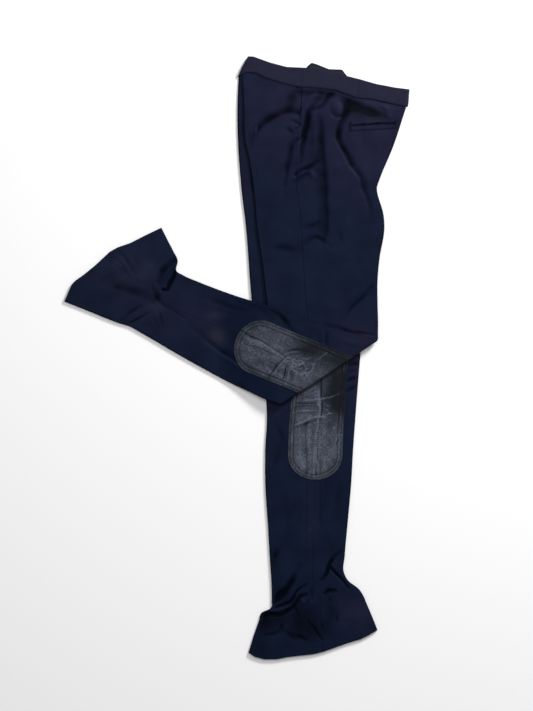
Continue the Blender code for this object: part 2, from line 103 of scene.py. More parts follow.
# Creases: path, half width to its left and its right, height (below 0 a trough), 0 soft to 1 crisp, share
# of the height at its start and at its end
RIGHT_CREASES = (
    # pressed inseam
    (((131, -234), (131, -321), (127, -385)), 2.8, 2.8, -1.1, 0.5, 0.9, 0.3),
    (((144, -234), (144, -300), (143, -380)), 8, 8, 0.6, 0, 0.8, 0.3),
    (((157.5, -236), (157.5, -285), (158, -340)), 2.8, 2.8, -1.1, 0.5, 0.9, 0.3),
    (((164, -236), (164, -270), (165, -300)), 2.6, 2.6, -0.6, 0.5, 0.9, 0.2),
    (((170, -323), (175, -340), (180, -360)), 4, 4, 0.9, 0.2, 0.3, 0.3),
    # forked crease above the hem, towards the back
    (((203, -367), (192, -373), (182, -380), (178, -388)), 6, 7, -1.8, 0.5, 0.6, 0.8),
    (((179.4, -385), (174, -396), (170, -407), (164.5, -418), (160.4, -423)),
     5.5, 6.5, -3.6, 0.4, 0.7, 0.5),
    (((174, -396), (182, -405.5), (193, -416), (202.5, -427), (210.6, -438)), 4.4, 5, -3.2, 0.4, 0.8, 0.5),
    (((179, -391), (185, -398), (192, -407)), 4, 4, 1.6, 0.2, 0.6, 0.4),
    (((184.8, -442), (171.3, -443.5), (164.5, -449)), 7, 6, -2.8, 0.3, 0.6, 0.6),
    (((174, -457), (178, -464)), 3.5, 3.5, -1.4, 0.3, 0.6, 0.6),
    (((188.5, -490), (188.5, -505)), 4.5, 4.5, -1.3, 0.3, 0.5, 0.5),
    # creases that run into the front edge, where the leg widens
    (((115.6, -397), (111.5, -408), (105, -420), (99, -431), (92.5, -442), (83, -450), (67, -464)),
     10, 10, -3.2, 0.2, 0.3, 1),
    (((130.5, -431), (121, -437), (113, -443.5), (106, -456), (101, -462.5), (88.5, -468), (75, -473)),
     4.2, 4.2, -3.0, 0.4, 0.6, 0.8),
    (((115.6, -454), (110, -461), (102, -471), (92.5, -476), (77.6, -479), (61, -481)),
     3.2, 3.2, 1.7, 0.3, 0.6, 0.5),
    (((130.5, -450), (120, -453), (111.5, -462.5), (105, -472), (96.6, -480), (86, -485.6), (72, -487.6),
      (58.6, -487.6), (50.5, -491)), 6, 6, -3.6, 0.4, 0.7, 0.9),
    (((121.5, -461.5), (126.5, -466.5)), 5, 5, 1.8, 0.1, 0.9, 0.9),
    (((134.6, -460), (130.5, -466.6), (122.4, -472)), 3.2, 3.2, -1.6, 0.4, 0.6, 0.6),
    (((140, -440), (140, -457)), 7, 7, -1.5, 0, 0.5, 0.5),
    (((110, -476), (117, -492)), 2.8, 2.8, -1.3, 0.4, 0.8, 0.4),
    # hollow of the bell's front half, and its small wrinkles
    (((45, -505), (90, -500), (140, -512)), 42, 42, -1.7, 0, 0.8, 0.6),
    (((75, -445), (95, -465), (130, -480)), 26, 26, -1.0, 0, 0.7, 0.6),
    (((170, -520), (178, -480), (172, -440)), 16, 22, -0.9, 0, 0.6, 0.6),
    (((93, -520), (103, -528), (112, -534)), 8, 8, -1.3, 0.2, 0.5, 0.6),
    (((114, -527), (123, -533), (130, -537)), 7, 7, -1.8, 0.3, 0.6, 0.6),
    (((134.4, -501), (146, -515), (153.4, -527), (160.7, -536)), 5, 2.8, -2.2, 0.6, 0.4, 0.6),
    (((82, -504), (85, -518)), 5, 5, -1.2, 0.2, 0.5, 0.5),
    (((52, -527), (66, -525), (80, -521)), 5.5, 5.5, -1.5, 0.3, 0.6, 0.5),
    (((161, -507), (161, -512)), 4, 4, -1.1, 0.2, 1, 1),
    (((74.4, -515), (83, -502)), 3, 3, 1.1, 0.3, 0.5, 0.5),
    # puckers beside the knee patch
    (((211, -18), (220, -13), (232, -14)), 4.4, 4.4, -2.8, 0.3, 0.4, 0.9),
    (((210, -31), (219, -27), (229, -27)), 3.4, 3.4, -1.6, 0.3, 0.4, 0.8),
    (((209, -45), (218, -40), (230, -39)), 4.4, 4.4, -2.6, 0.3, 0.6, 0.9),
    (((210, -63), (218, -58), (228, -56)), 4.4, 4.4, -2.4, 0.3, 0.6, 0.7),
    # slack cloth down the leg
    (((72, -125), (80, -141), (89, -167)), 9, 9, -0.9, 0.1, 0.3, 0.3),
    (((65, -224), (74, -198), (80, -167)), 9, 9, -0.8, 0.1, 0.3, 0.3),
    (((66, -395), (72, -376), (84, -361)), 9, 7, -1.3, 0.2, 0.6, 0.3),
    (((87, -270), (93, -308), (93, -355)), 12, 12, -0.7, 0, 0.3, 0.3),
    (((192, -213), (190, -270), (186, -308)), 12, 12, -0.7, 0, 0.3, 0.3),
)
# Creases of the layer that lies on the table: they only rise from it
UNDER_CREASES = (
    (((60, 300), (110, 250), (180, 235)), 14, 14, -1.3, 0.2, 0.3, 0.3),
    (((210, 330), (180, 290), (170, 230)), 16, 12, -1.5, 0.3, 0.4, 0.3),
    (((90, 60), (130, 30), (190, 25)), 12, 12, -1.2, 0.3, 0.3, 0.3),
    (((80, -100), (95, -180), (90, -260)), 15, 15, -1.0, 0, 0.3, 0.3),
    (((190, -330), (150, -380), (100, -410)), 10, 12, -1.6, 0.4, 0.5, 0.3),
    (((70, -450), (120, -470), (180, -450)), 8, 10, -1.6, 0.5, 0.6, 0.4),
)
EDGE_SHADE = (1.6, 3.5)    # painted shade along an edge: as dark as a crease this deep, and how far in it reaches
PATH_STEPS = 3            # to a stretch of a crease's path
END_FADE = 0.5            # share of its length over which a crease fades to its end
CREASE_UNEVEN = 0.13      # how much a crease's height varies along it, over this length
CREASE_BEAT = 5.3
CREASE_SWAY = 0.5         # how far its path sways, and the lengths of the sway along and across
SWAYS_IN_X = ((6.1, 19), (13.7, -23))
SWAYS_IN_Y = ((7.3, -17), (12.1, 29))
DEEPEST = -3.0            # a trough's depth where the other layer lies below it
EDGE_CALM = (0.5, 9)      # creases fade out between these distances from an edge
WAIST_CALM = (2, 9)       # and from the waist seam
SLACK_WAVES = 14          # unevenness of loose cloth: waves, their lengths and heights in all
SLACK_LENGTHS = (45, 170)
SLACK_HEIGHT = 0.9
SLACK_TILT = 0.7          # spread of their headings, in radians
SHOWS_BELOW = 60          # the right leg is covered above this y, and is smoother from here up to it
SHOWS_FADE = 50

# Places where the cloth has a plum cast, and where it is rubbed: x, y, spread in x and in y, amount
RIGHT_PLUM = ((235, -490, 40, 40, 0.5), (75, -90, 30, 90, 0.25), (234, -70, 18, 110, 0.9),
              (10, 400, 30, 170, 0.4))
RIGHT_RUBBED = ((215, -480, 36, 24, 0.06), (140, -300, 14, 80, 0.08))
# Places turned away from the light: x, y, spread in x and in y, as much darker as a crease this deep
TURNED_AWAY_RIGHT = ((8, 380, 30, 190, 0.7), (58, -500, 26, 18, 0.6), (120, -525, 26, 14, 0.5),
                     (90, -445, 30, 30, 0.4), (44, -552, 44, 26, 0.85), (128, -498, 22, 34, 0.7),
                     (66, -392, 14, 44, 0.6))


def ease(value, start, end):
    """Smooth step from 0 at start to 1 at end."""
    t = np.clip((value - start) / (end - start), 0, 1)
    return t * t * (3 - 2 * t)


def table_value(table, value):
    """The second column of a table, read at a value of its first."""
    rows = np.array(table, float)
    return np.interp(value, rows[:, 0], rows[:, 1])


def edge_x(stations, y, column):
    """How far out the front (column 0) or back (column 2) edge lies at a height."""
    rows = np.array(stations, float)
    return np.interp(-y, -rows[:, column + 1], rows[:, column])


def curve_through(table, counts):
    """Rows on a smooth curve through a table's rows, with so many new rows to each."""
    values = np.array(table, float)
    middle = values[:, 0:2] if values.shape[1] < 4 else (values[:, 0:2] + values[:, 2:4]) / 2
    knots = np.concatenate(([0], np.cumsum(np.linalg.norm(np.diff(middle, axis=0), axis=1))))
    slopes = np.gradient(values, knots, axis=0)
    rows = [values[:1]]
    for i, count in enumerate(counts):
        length = knots[i + 1] - knots[i]
        t = (np.arange(1, count + 1) / count)[:, None]
        rows.append((1 + 2 * t) * (1 - t) ** 2 * values[i] + t * (1 - t) ** 2 * length * slopes[i]
                    + t * t * (3 - 2 * t) * values[i + 1] + t * t * (t - 1) * length * slopes[i + 1])
    return np.concatenate(rows)


def rows_down(stations):
    """Rows down a half: front x, y, back x, y and dip."""
    table = np.array(stations, float)
    middle = (table[:, 0:2] + table[:, 2:4]) / 2
    lengths = np.linalg.norm(np.diff(middle, axis=0), axis=1)
    return curve_through(table[:, :5], np.ceil(lengths / table[1:, 5]).astype(int))


def crease_lift(x, y, crease):
    """How far one crease lifts each place."""
    path, left_width, right_width, height, crisp, start_share, end_share = crease
    steps = [PATH_STEPS] * (len(path) - 1)
    points = curve_through(path, steps) if len(path) > 2 else np.array(path, float)
    reach = max(left_width, right_width)
    low, high = points.min(axis=0) - reach, points.max(axis=0) + reach
    near = np.flatnonzero((x > low[0]) & (x < high[0]) & (y > low[1]) & (y < high[1]))
    px, py = x[near], y[near]
    nearest, place, side = np.full(len(near), np.inf), np.zeros(len(near)), np.zeros(len(near))
    done = 0.0
    for start, end in zip(points[:-1], points[1:]):
        length = np.linalg.norm(end - start)
        way = (end - start) / length
        along = np.clip((px - start[0]) * way[0] + (py - start[1]) * way[1], 0, length)
        away = np.hypot(px - start[0] - along * way[0], py - start[1] - along * way[1])
        closer = away < nearest
        place = np.where(closer, done + along, place)
        side = np.where(closer, (py - start[1]) * way[0] - (px - start[0]) * way[1], side)
        nearest = np.minimum(nearest, away)
        done += length
    share = np.clip(nearest / np.where(side > 0, left_width, right_width), 0, 1)
    profile = (1 - crisp) * (1 - ease(share, 0, 1)) + crisp * (1 - share) ** 2
    from_start = start_share + (1 - start_share) * ease(place / done, 0, END_FADE)
    from_end = end_share + (1 - end_share) * ease(1 - place / done, 0, END_FADE)
    ends = from_start * from_end
    lift = np.zeros(x.shape)
    lift[near] = height * profile * ends * (1 + CREASE_UNEVEN * np.sin(place / CREASE_BEAT + path[0][0]))
    return lift


def creases(x, y, table):
    """How far the creases of a table lift each place; none of them runs quite straight."""
    sway_x, sway_y = x, y
    for along, across in SWAYS_IN_X:
        sway_x = sway_x + CREASE_SWAY * np.sin(y / along + x / across)
    for along, across in SWAYS_IN_Y:
        sway_y = sway_y + CREASE_SWAY * np.sin(x / along + y / across)
    return sum(crease_lift(sway_x, sway_y, crease) for crease in table)


def slack(x, y, seed):
    """Unevenness of cloth that lies loose: long waves, mostly across the leg."""
    draw = np.random.RandomState(seed)
    lift = np.zeros(np.shape(x))
    for _ in range(SLACK_WAVES):
        length = draw.uniform(*SLACK_LENGTHS)
        heading = draw.normal(0, SLACK_TILT)
        start = draw.uniform(0, 2 * math.pi)
        way = x * math.cos(heading) + y * math.sin(heading)
        lift += length * np.sin(way * 2 * math.pi / length + start)
    return lift * SLACK_HEIGHT / SLACK_WAVES / np.mean(SLACK_LENGTHS)


def spots(x, y, table):
    """Sum of soft spots."""
    return sum(amount * np.exp(-((x - px) / rx) ** 2 - ((y - py) / ry) ** 2)
               for px, py, rx, ry, amount in table)


def crotch_share(y):
    """How far the inner layer reaches from its edge to the inner seam, down the curve of the crotch."""
    t = np.clip((CROTCH_TOP - y) / (CROTCH_TOP - CROTCH_BOTTOM), 0, 1)
    return 1 - math.sqrt(1 - t * t)


class RightHalf:
    """The half that lies on the table: outer layer underneath, inner layer on top."""
    stations = RIGHT_STATIONS
    hem = HEM_RIGHT
    inseam = INSEAM_RIGHT
    cells = RIGHT_CELLS
    outer_turn = math.pi
    seam_wave = ((0, 0), (330, 0))      # its waist seam is straight
    pocket_cut = ((0, 0), (1, 0))       # no pocket
    tuck = -SEAM / 2
    crease_shade_share = ((0, 1), (1, 1))         # painted shade: creases darken its colour by their whole depth everywhere
    turned_away = TURNED_AWAY_RIGHT
    slack_seed = 3

    def relief(self, flat, x, y, upward):
        """How far creases lift it: the layer on top, and the one below as far as there is room."""
        loose = slack(x, y, self.slack_seed) * ease(SHOWS_BELOW - y, 0, SHOWS_FADE)
        top = np.maximum(creases(x, y, RIGHT_CREASES) + loose, DEEPEST)
        under = np.maximum(creases(x, y, UNDER_CREASES), DEEPEST - np.minimum(top, 0))
        return np.where(upward > 0, top, np.minimum(under, 0))

    def facing_up(self, flat):
        """How much of a knee patch's own creases each place has."""
        return 1

    def settle(self, flat, height):
        """Where its places lie on the table."""
        return np.column_stack((flat, height))

    def plum(self, x, y):
        return spots(x, y, RIGHT_PLUM)

    def rubbed(self, x, y):
        return spots(x, y, RIGHT_RUBBED)


def waist_y(half, x):
    """Where the waist seam runs."""
    top = half.stations[0]
    return top[1] + (x - top[0]) * (top[3] - top[1]) / (top[2] - top[0]) + table_value(half.seam_wave, x)


def rise_of(flat, turn):
    """How high a flattened half's face is above what it lies on."""
    return table_value(HALF_HEIGHT, flat[:, 1]) / 2 * (1 + np.cos(turn))


def on_half(half, flat, turn, out):
    """Points of a half from their places on it laid straight, how far round its edge each lies (0 on top,
    pi underneath), and how far outside its cloth; and how far the creases lift each."""
    front = edge_x(half.stations, flat[:, 1], 0)
    back = edge_x(half.stations, flat[:, 1], 2)
    upward = np.cos(turn)
    rise = rise_of(flat, turn)
    plain = half.settle(flat, rise)
    calm = ease(flat[:, 0] - front, *EDGE_CALM) * ease(back - flat[:, 0], *EDGE_CALM)
    calm = calm * ease(waist_y(half, flat[:, 0]) - flat[:, 1], *WAIST_CALM)
    creased = half.relief(flat, plain[:, 0], plain[:, 1], upward) * calm
    side = np.sin(turn) * np.where(flat[:, 0] < (front + back) / 2, -1, 1)
    points = half.settle(flat + np.column_stack((side * out, 0 * side)), rise + (creased + out) * upward)
    return points, creased


def edge_columns(half, seam, inner_end, cells, profile, mouth):
    """Distance from the edge, turn and lift of a panel's columns, from the outer seam round the edge to the
    end of the inner layer. mouth: 1 where the outer edge is a pocket's mouth and lies free."""
    outer, inner = cells
    past, sunk = np.array(profile, float).T
    start, end = half.outer_turn, math.pi - half.outer_turn
    bend = np.linspace(start, end, BEND_CELLS + 1)[1:-1]
    reach = np.where(past > 0, past * (1 - mouth), past)
    across = np.concatenate((seam + reach,
                             np.linspace(seam - SEAM_FLAT, EDGE_ROUND, outer + 1),
                             EDGE_ROUND * (1 - np.sin(bend)),
                             np.linspace(EDGE_ROUND, inner_end - SEAM_FLAT, inner + 1),
                             inner_end + past[::-1]))
    turn = np.concatenate((np.full(len(past) + outer + 1, start),
                           bend,
                           np.full(len(past) + inner + 1, end)))
    lift = np.zeros(len(across))
    lift[:len(past)] = sunk * (1 - MOUTH_RAISED * mouth)
    lift[-len(past):] = sunk[::-1]
    return across, turn, lift


def front_columns(half, row, width):
    """Columns of a front panel: outer seam, outer layer, front edge, inner layer, inseam."""
    outseam = table_value(OUTSEAM, row[1])
    cut = table_value(half.pocket_cut, row[1] - outseam * (row[1] - row[3]))
    inner_end = FLY_TURN + (half.inseam * width - SEAM / 2 - FLY_TURN) * crotch_share(row[1])
    return edge_columns(half, outseam * width - SEAM / 2 - cut, inner_end, half.cells["front"],
                        LAPPED_UNDER, ease(cut, 0, MOUTH_OPEN))


def back_columns(half, row, width):
    """Columns of a back panel, from the inseam round the back edge to the outer seam."""
    inner_end = SEAT_TURN + ((1 - half.inseam) * width - SEAM / 2 - SEAT_TURN) * crotch_share(row[3])
    outseam = table_value(OUTSEAM, row[1])
    across, turn, lift = edge_columns(half, (1 - outseam) * width - SEAM / 2, inner_end, half.cells["back"],
                                      ROLLED_EDGE, 0)
    return width - across[::-1], turn[::-1], lift[::-1]


def panel_places(half, columns):
    """A leg panel's grid, row by row from the waist seam to the hem, on the half laid straight."""
    rows = rows_down(half.stations)
    top = rows[0]
    places, turns, lifts = [], [], []
    for row in rows:
        front, back = row[0:2], row[2:4]
        width = np.linalg.norm(back - front)
        across, turn, lift = columns(half, row, width)
        place = front + (back - front) * (across / width)[:, None]
        dip = table_value(half.hem, across / width)
        wave = 1 - ease(top[1] - row[1], 0, WAVE_FADE)
        place[:, 1] -= row[4] * dip - wave * (half.tuck + table_value(half.seam_wave, place[:, 0]))
        places.append(place)
        turns.append(turn)
        lifts.append(lift)
    return np.array(places), np.array(turns), np.array(lifts)


def new_piece(name, points, faces, finish):
    """A smooth object from points on the table."""
    mesh = bpy.data.meshes.new(name)
    mesh.from_pydata(((points - np.array((*MIDDLE, 0))) * MM).tolist(), [], faces)
    mesh.shade_smooth()
    mesh.materials.append(finish)
    piece = bpy.data.objects.new(name, mesh)
    bpy.context.collection.objects.link(piece)
    return piece


def sewn_cloth(name, half, grid, wall, finish, wrinkles=()):
    """A piece of cloth from its places, turns and lifts: its outer face, with a wall behind it and wrinkles
    of its own. It stands for the frame's node of that name, and its cut is measured on its own face."""
    places, turns, lifts = grid
    shape = turns.shape
    flat, turn = places.reshape(-1, 2), turns.reshape(-1)
    resting = half.settle(flat, rise_of(flat, turn))
    x, y = resting[:, 0], resting[:, 1]
    out = lifts.reshape(-1)
    if wrinkles:
        out = out + creases(x, y, wrinkles) * half.facing_up(flat)
    points, creased = on_half(half, flat, turn, out)
    from_edge = np.minimum(flat[:, 0] - edge_x(half.stations, flat[:, 1], 0),
                           edge_x(half.stations, flat[:, 1], 2) - flat[:, 0])
    # Painted shade: places turned away from the light, and a strip along the front and back edges, are
    # darkened as a trough this deep would be.
    away = spots(x, y, half.turned_away) + EDGE_SHADE[0] * (1 - ease(from_edge, 0, EDGE_SHADE[1]))
    surface = (points * MM).reshape(*shape, 3)
    diagonals = np.cross(surface[1:, 1:] - surface[:-1, :-1], surface[1:, :-1] - surface[:-1, 1:])
    outward = (on_half(half, flat, turn, out + SMALL_STEP)[0] - points).reshape(*shape, 3)[1:, 1:]
    corner = np.arange(shape[0] * shape[1]).reshape(shape)
    corners = (corner[:-1, :-1], corner[:-1, 1:], corner[1:, 1:], corner[1:, :-1])
    faces = np.stack(corners, axis=-1).reshape(-1, 4)
    if (diagonals * outward).sum() < 0:
        faces = faces[:, ::-1]
    piece = new_piece(name + "_cloth", points, faces.tolist(), finish)
    weave = piece.data.attributes.new("weave", "FLOAT_VECTOR", "POINT")
    weave.data.foreach_set("vector", np.column_stack((flat, 0 * turn)).ravel())
    # For plain cloth this value also carries painted shade: crease depth, the places turned away from the
    # light and the edges darken its colour in the material. For cloth with wrinkles of its own it is their
    # height.
    raised = out - lifts.max() if wrinkles else creased * table_value(half.crease_shade_share, y) - away
    for word, values in (("plum", half.plum(x, y)), ("rubbed", half.rubbed(x, y)), ("raised", raised)):
        piece.data.attributes.new(word, "FLOAT", "POINT").data.foreach_set("value", values)
    thickness = piece.modifiers.new("wall", "SOLIDIFY")
    thickness.thickness = wall * MM
    thickness.offset = -1
    piece.modifiers.new("even shading", "WEIGHTED_NORMAL")
    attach(piece, "root")
    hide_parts(name)
    return piece


def linear(hex_colour):
    """Linear colour of an sRGB hex value."""
    shares = [int(hex_colour[i:i + 2], 16) / 255 for i in (1, 3, 5)]
    return (*[s / 12.92 if s <= 0.04045 else ((s + 0.055) / 1.055) ** 2.4 for s in shares], 1)


def set_node(node, inputs):
    """Sets a node's properties and inputs by name; an input that is given a socket is linked to it."""
    for name, value in inputs.items():
        if isinstance(value, bpy.types.NodeSocket):
            node.id_data.links.new(value, node.inputs[name])
        elif isinstance(name, str) and hasattr(node, name):
            setattr(node, name, value)
        else:
            node.inputs[name].default_value = value
    return node


def add_node(tree, kind, inputs):
    """Adds a node with its settings and links."""
    return set_node(tree.nodes.new("ShaderNode" + kind), inputs)


def new_material(name):
    """A material, its node tree and its shader."""
    material = bpy.data.materials.new(name)
    material.use_nodes = True
    return material, material.node_tree, material.node_tree.nodes["Principled BSDF"]


# Wool gabardine: a steep twill, woven hard and pressed, so the eye sees smooth dark cloth with a dull sheen
# on its flats. Its diagonals are 0.5 mm apart and are drawn as coarse as they need to show.
NAVY = "#0c1529"
NAVY_PLUM = "#1a1a30"
NAVY_RUBBED = "#3a3d49"
TWILL = 1.1
TWILL_SLOPE = math.radians(63)
CLOTH_MOTTLE = 38         # patches of uneven dye and pressing
CLOTH_NAP = 2.5           # fuzz, in tufts
BANDS_A_UNIT = 20 / (2 * math.pi)      # a wave texture of scale 1
gabardine, tree, shader = new_material("navy_wool_gabardine")
weave = add_node(tree, "Attribute", {"attribute_name": "weave"}).outputs["Vector"]
plum = add_node(tree, "Attribute", {"attribute_name": "plum"}).outputs["Fac"]
rubbed = add_node(tree, "Attribute", {"attribute_name": "rubbed"}).outputs["Fac"]
raised = add_node(tree, "Attribute", {"attribute_name": "raised"}).outputs["Fac"]
diagonal = add_node(tree, "Mapping", {"Rotation": (0, 0, TWILL_SLOPE), "Vector": weave})
twill = add_node(tree, "TexWave", {"Scale": 1 / (TWILL * BANDS_A_UNIT), "Distortion": 0.4, "Detail": 1.0,
                                   "Vector": diagonal.outputs[0]})
mottle = add_node(tree, "TexNoise", {"Scale": 1 / CLOTH_MOTTLE, "Detail": 4.0, "Vector": weave})
nap = add_node(tree, "TexNoise", {"Scale": 1 / CLOTH_NAP, "Detail": 3.0, "Vector": weave})
dyed = add_node(tree, "Mix", {"data_type": "RGBA", 0: plum, 6: linear(NAVY), 7: linear(NAVY_PLUM)})
worn = add_node(tree, "Mix", {"data_type": "RGBA", 0: rubbed, 6: dyed.outputs[2], 7: linear(NAVY_RUBBED)})
uneven = add_node(tree, "MapRange", {"From Min": 0.3, "From Max": 0.7, "To Min": 0.8, "To Max": 1.2,
                                     "Value": mottle.outputs["Fac"]})
threads = add_node(tree, "MapRange", {"To Min": 0.9, "To Max": 1.1, "Value": twill.outputs["Fac"]})
# Painted shade: the deeper a crease, and the more a place or an edge is turned away from the light, the
# darker the cloth's colour.
painted_crease_shade = add_node(tree, "MapRange", {"From Min": -2.5, "From Max": -0.3, "To Min": 0.2, "To Max": 1.0,
                                      "Value": raised})
shade = add_node(tree, "Math", {"operation": "MULTIPLY", 0: uneven.outputs[0], 1: threads.outputs[0]})
shade = add_node(tree, "Math", {"operation": "MULTIPLY", 0: shade.outputs[0], 1: painted_crease_shade.outputs[0]})
shaded = add_node(tree, "VectorMath", {"operation": "SCALE", 0: worn.outputs[2], "Scale": shade.outputs[0]})
gloss = add_node(tree, "MapRange", {"From Min": -3.0, "From Max": -0.5, "To Min": 0.8, "To Max": 0.45,
                                    "Value": raised})
relief = add_node(tree, "Math", {"operation": "ADD", 0: twill.outputs["Fac"], 1: nap.outputs["Fac"]})
bump = add_node(tree, "Bump", {"Strength": 0.35, "Distance": 0.00012, "Height": relief.outputs[0]})
set_node(shader, {"Base Color": shaded.outputs[0], "Roughness": gloss.outputs[0],
                  "Specular IOR Level": 0.03, "Normal": bump.outputs[0]})

right = RightHalf()
for part, columns in (("right_front", front_columns), ("right_back", back_columns)):
    sewn_cloth(part, right, panel_places(right, columns), WALL, gabardine)

# ---------------------------------------------------------------------------------------------------------
# Right knee patch: one piece of suede on the inside of the knee, sewn down with two rows of stitches. The
# nap is rubbed flat and grey over the lower half, and the crease of the knee has cracked it.
PATCH_WALL = 1.0
PATCH_WIDTH = 104
PATCH_END = 46            # length of each rounded end
END_STEPS = 14
LAST_STEP = 0.998         # the outermost row, just short of the tip
PATCH_CELLS = 80
PATCH_STEP = 1.4
NO_LENGTH = 1e-9          # stands in for the length of an edge whose ends meet
FOLD_FRONT = (85.5, -91.2)              # the line that the left leg is folded on, and its tilt
FOLD_BACK = (271.7, 32.3)
FOLD_TILT = (FOLD_BACK[1] - FOLD_FRONT[1]) / (FOLD_BACK[0] - FOLD_FRONT[0])
# The patch's middle line: x, y, share of the fold's tilt
PATCH_RIGHT = ((159, 20, 0), (156, -40, 0), (154, -75, 0), (149.5, -130, 0), (147.5, -186, 0))
PATCH_EDGE = ((0, -0.3), (2.4, 0.15), (99, 0.15))       # from the edge, height
STITCH_INSETS = (3.8, 10.2)                             # its rows of stitches
STITCH_PULL = 0.4         # how deep they pull the suede in, and how wide
STITCH_PULL_WIDTH = 1.3
STITCH_PITCH = 3.2
STITCH_LENGTH = 2.5
STITCH_RINGS = 5
STITCH_TAPER = 0.5        # how much thinner its ends are
STITCH_BOW = 1.6          # and how much lower, in half threads
THREAD_SIDES = 6
THREAD = 0.52             # half its thickness
PATCH_RIGHT_CREASES = (
    # ridge where the suede has cracked, with the hollow below it
    (((109, -128.5), (122, -123.7), (135, -116.6), (146, -112.6), (158, -112.6), (165, -114)),
     2.6, 2.6, 1.8, 0.6, 0.7, 0.9),
    (((111, -133), (124, -128.5), (137, -121.5), (147, -117.5), (158, -117.5)), 3, 3, -0.9, 0.3, 0.5, 0.5),
    # softer creases across the knee
    (((112, -80), (129, -81), (151, -80), (164, -78), (181, -74), (200, -65)), 3, 3, 1.1, 0.4, 0.3, 0.3),
    (((110, -86), (132, -87), (152, -86)), 3, 3, -0.6, 0.3, 0.3, 0.4),
    (((104, -105), (117, -102), (136, -101), (153, -100)), 2.5, 2.5, 0.9, 0.4, 0.4, 0.6),
    (((117, -70), (139, -62), (158, -54)), 2.5, 2.5, 0.9, 0.4, 0.3, 0.4),
    (((112, -76), (135, -70), (156, -66)), 2.5, 2.5, 0.6, 0.4, 0.3, 0.4),
    (((108, -93), (130, -92), (148, -92)), 2.5, 2.5, -0.5, 0.3, 0.4, 0.6),
    (((152, -88), (155, -93), (154, -101)), 3, 3, 1.5, 0.2, 0.6, 0.6),
    (((163, -118), (167, -111), (177, -107), (186, -106)), 2.2, 2.2, 0.9, 0.4, 0.5, 0.3),
    (((162, -97), (170, -101), (173, -108)), 2.2, 2.2, 0.8, 0.4, 0.4, 0.4),
    (((160, -122), (168, -124), (175, -119)), 2.2, 2.2, 0.6, 0.4, 0.4, 0.4),
    (((165, -87), (173, -93), (179, -91)), 2.2, 2.2, 0.7, 0.4, 0.4, 0.4),
    (((181, -170), (187, -156), (193, -141)), 3, 3, 0.9, 0.2, 0.3, 0.3),
    (((176, -150), (183, -135), (190, -124)), 3, 3, 0.5, 0.2, 0.3, 0.3),
    (((120, -210), (128, -204)), 2.5, 2.5, 0.8, 0.2, 0.5, 0.5),
    # the leg's seam under it
    (((160, -37), (159, -70), (160, -92), (158, -111), (156, -125), (153, -156), (151, -189),
      (149.5, -224)), 2.2, 2.2, -1.1, 0.5, 0.8, 0.8),
    (((154, -60), (153.5, -110), (148, -156), (145, -189), (144, -222)), 2.6, 2.6, 0.8, 0.2, 0.8, 0.8),
    (((129, -122), (130, -156), (131, -189), (132, -222)), 2.2, 2.6, -0.6, 0.5, 0.4, 0.8),
    (((137.5, -180), (139, -225)), 2, 2, -0.6, 0.5, 0.3, 0.8),
    (((156.5, -175), (157, -225)), 2, 2, -0.6, 0.5, 0.3, 0.8),
    (((118, -137), (118, -175), (122, -205)), 4, 4, 0.4, 0, 0.3, 0.3),
    (((136, -140), (137, -185), (139, -222)), 2.2, 2.2, 0.6, 0.3, 0.4, 0.6),
    (((143, -128), (141, -170), (142, -205)), 2, 2, -0.5, 0.3, 0.4, 0.6),
    (((187, -190), (190, -170), (196, -150)), 2.2, 2.2, 0.7, 0.2, 0.3, 0.3),
    (((112, -150), (121, -146)), 2, 2, 0.6, 0.2, 0.4, 0.4),
    (((108, -196), (118, -188)), 2, 2, 0.7, 0.2, 0.4, 0.4),
    (((165, -137), (164, -175), (165, -213)), 3.5, 3.5, 0.5, 0.1, 0.3, 0.4),
)
# Where it is greyer or darker: x, y, spread in x and in y, amount. It is greyer over its lower half, and
# darkest beside the fold.
RIGHT_PATCH_TONE = ((118, -180, 22, 50, 0.22), (146, -170, 10, 60, 0.3), (170, -185, 18, 40, 0.2),
                    (120, -95, 26, 36, -0.03), (152, -92, 6, 26, 0.22), (150, -112, 26, 5, 0.2),
                    (200, -60, 36, 46, -0.38), (192, -30, 24, 20, -0.1), (182, -62, 20, 34, -0.14),
                    (190, -96, 26, 22, -0.2), (196, -165, 8, 40, 0.15), (178, -130, 12, 14, -0.1))
# The inseam's stitches have rubbed through it in a row of beads: x, y of its ends, distance; one bead as a
# crease, and half its length in x and in y
BEADS_RIGHT = ((157, -84), (150, -214), 4.4)
BEAD = (1.5, 1.5, 1.7, 0.2, 1, 1)
BEAD_HALF = (1.4, -0.4)


def beads(start, end, distance):
    """Short ridges across a line."""
    count = round(math.dist(start, end) / distance)
    middles = np.linspace(start, end, count + 1)
    half_x, half_y = BEAD_HALF
    return tuple((((x - half_x, y - half_y), (x + half_x, y + half_y)), *BEAD) for x, y in middles)


def patch_outline(centres):
    """Rows of a knee patch, rounded at both ends: front x, y, back x, y."""
    table = np.array(centres, float)
    lengths = np.linalg.norm(np.diff(table[:, :2], axis=0), axis=1)
    rows = []

    def add(x, y, share, half_width):
        rise = FOLD_TILT * share * half_width
        rows.append((x - half_width, y - rise, x + half_width, y + rise))

    def add_end(centre, down):
        """An ellipse's rows, closer together towards its tip."""
        steps = [math.sin(math.pi / 2 * step / END_STEPS) for step in range(1, END_STEPS)] + [LAST_STEP]
        for f in steps if down > 0 else steps[::-1]:
            half_width = PATCH_WIDTH / 2 * math.sqrt(1 - f * f)
            add(centre[0], centre[1] - down * PATCH_END * f, centre[2], half_width)

    middle = curve_through(table, np.ceil(lengths / PATCH_STEP).astype(int))
    add_end(middle[0], -1)
    for x, y, share in middle:
        add(x, y, share, PATCH_WIDTH / 2)
    add_end(middle[-1], 1)
    return np.array(rows)


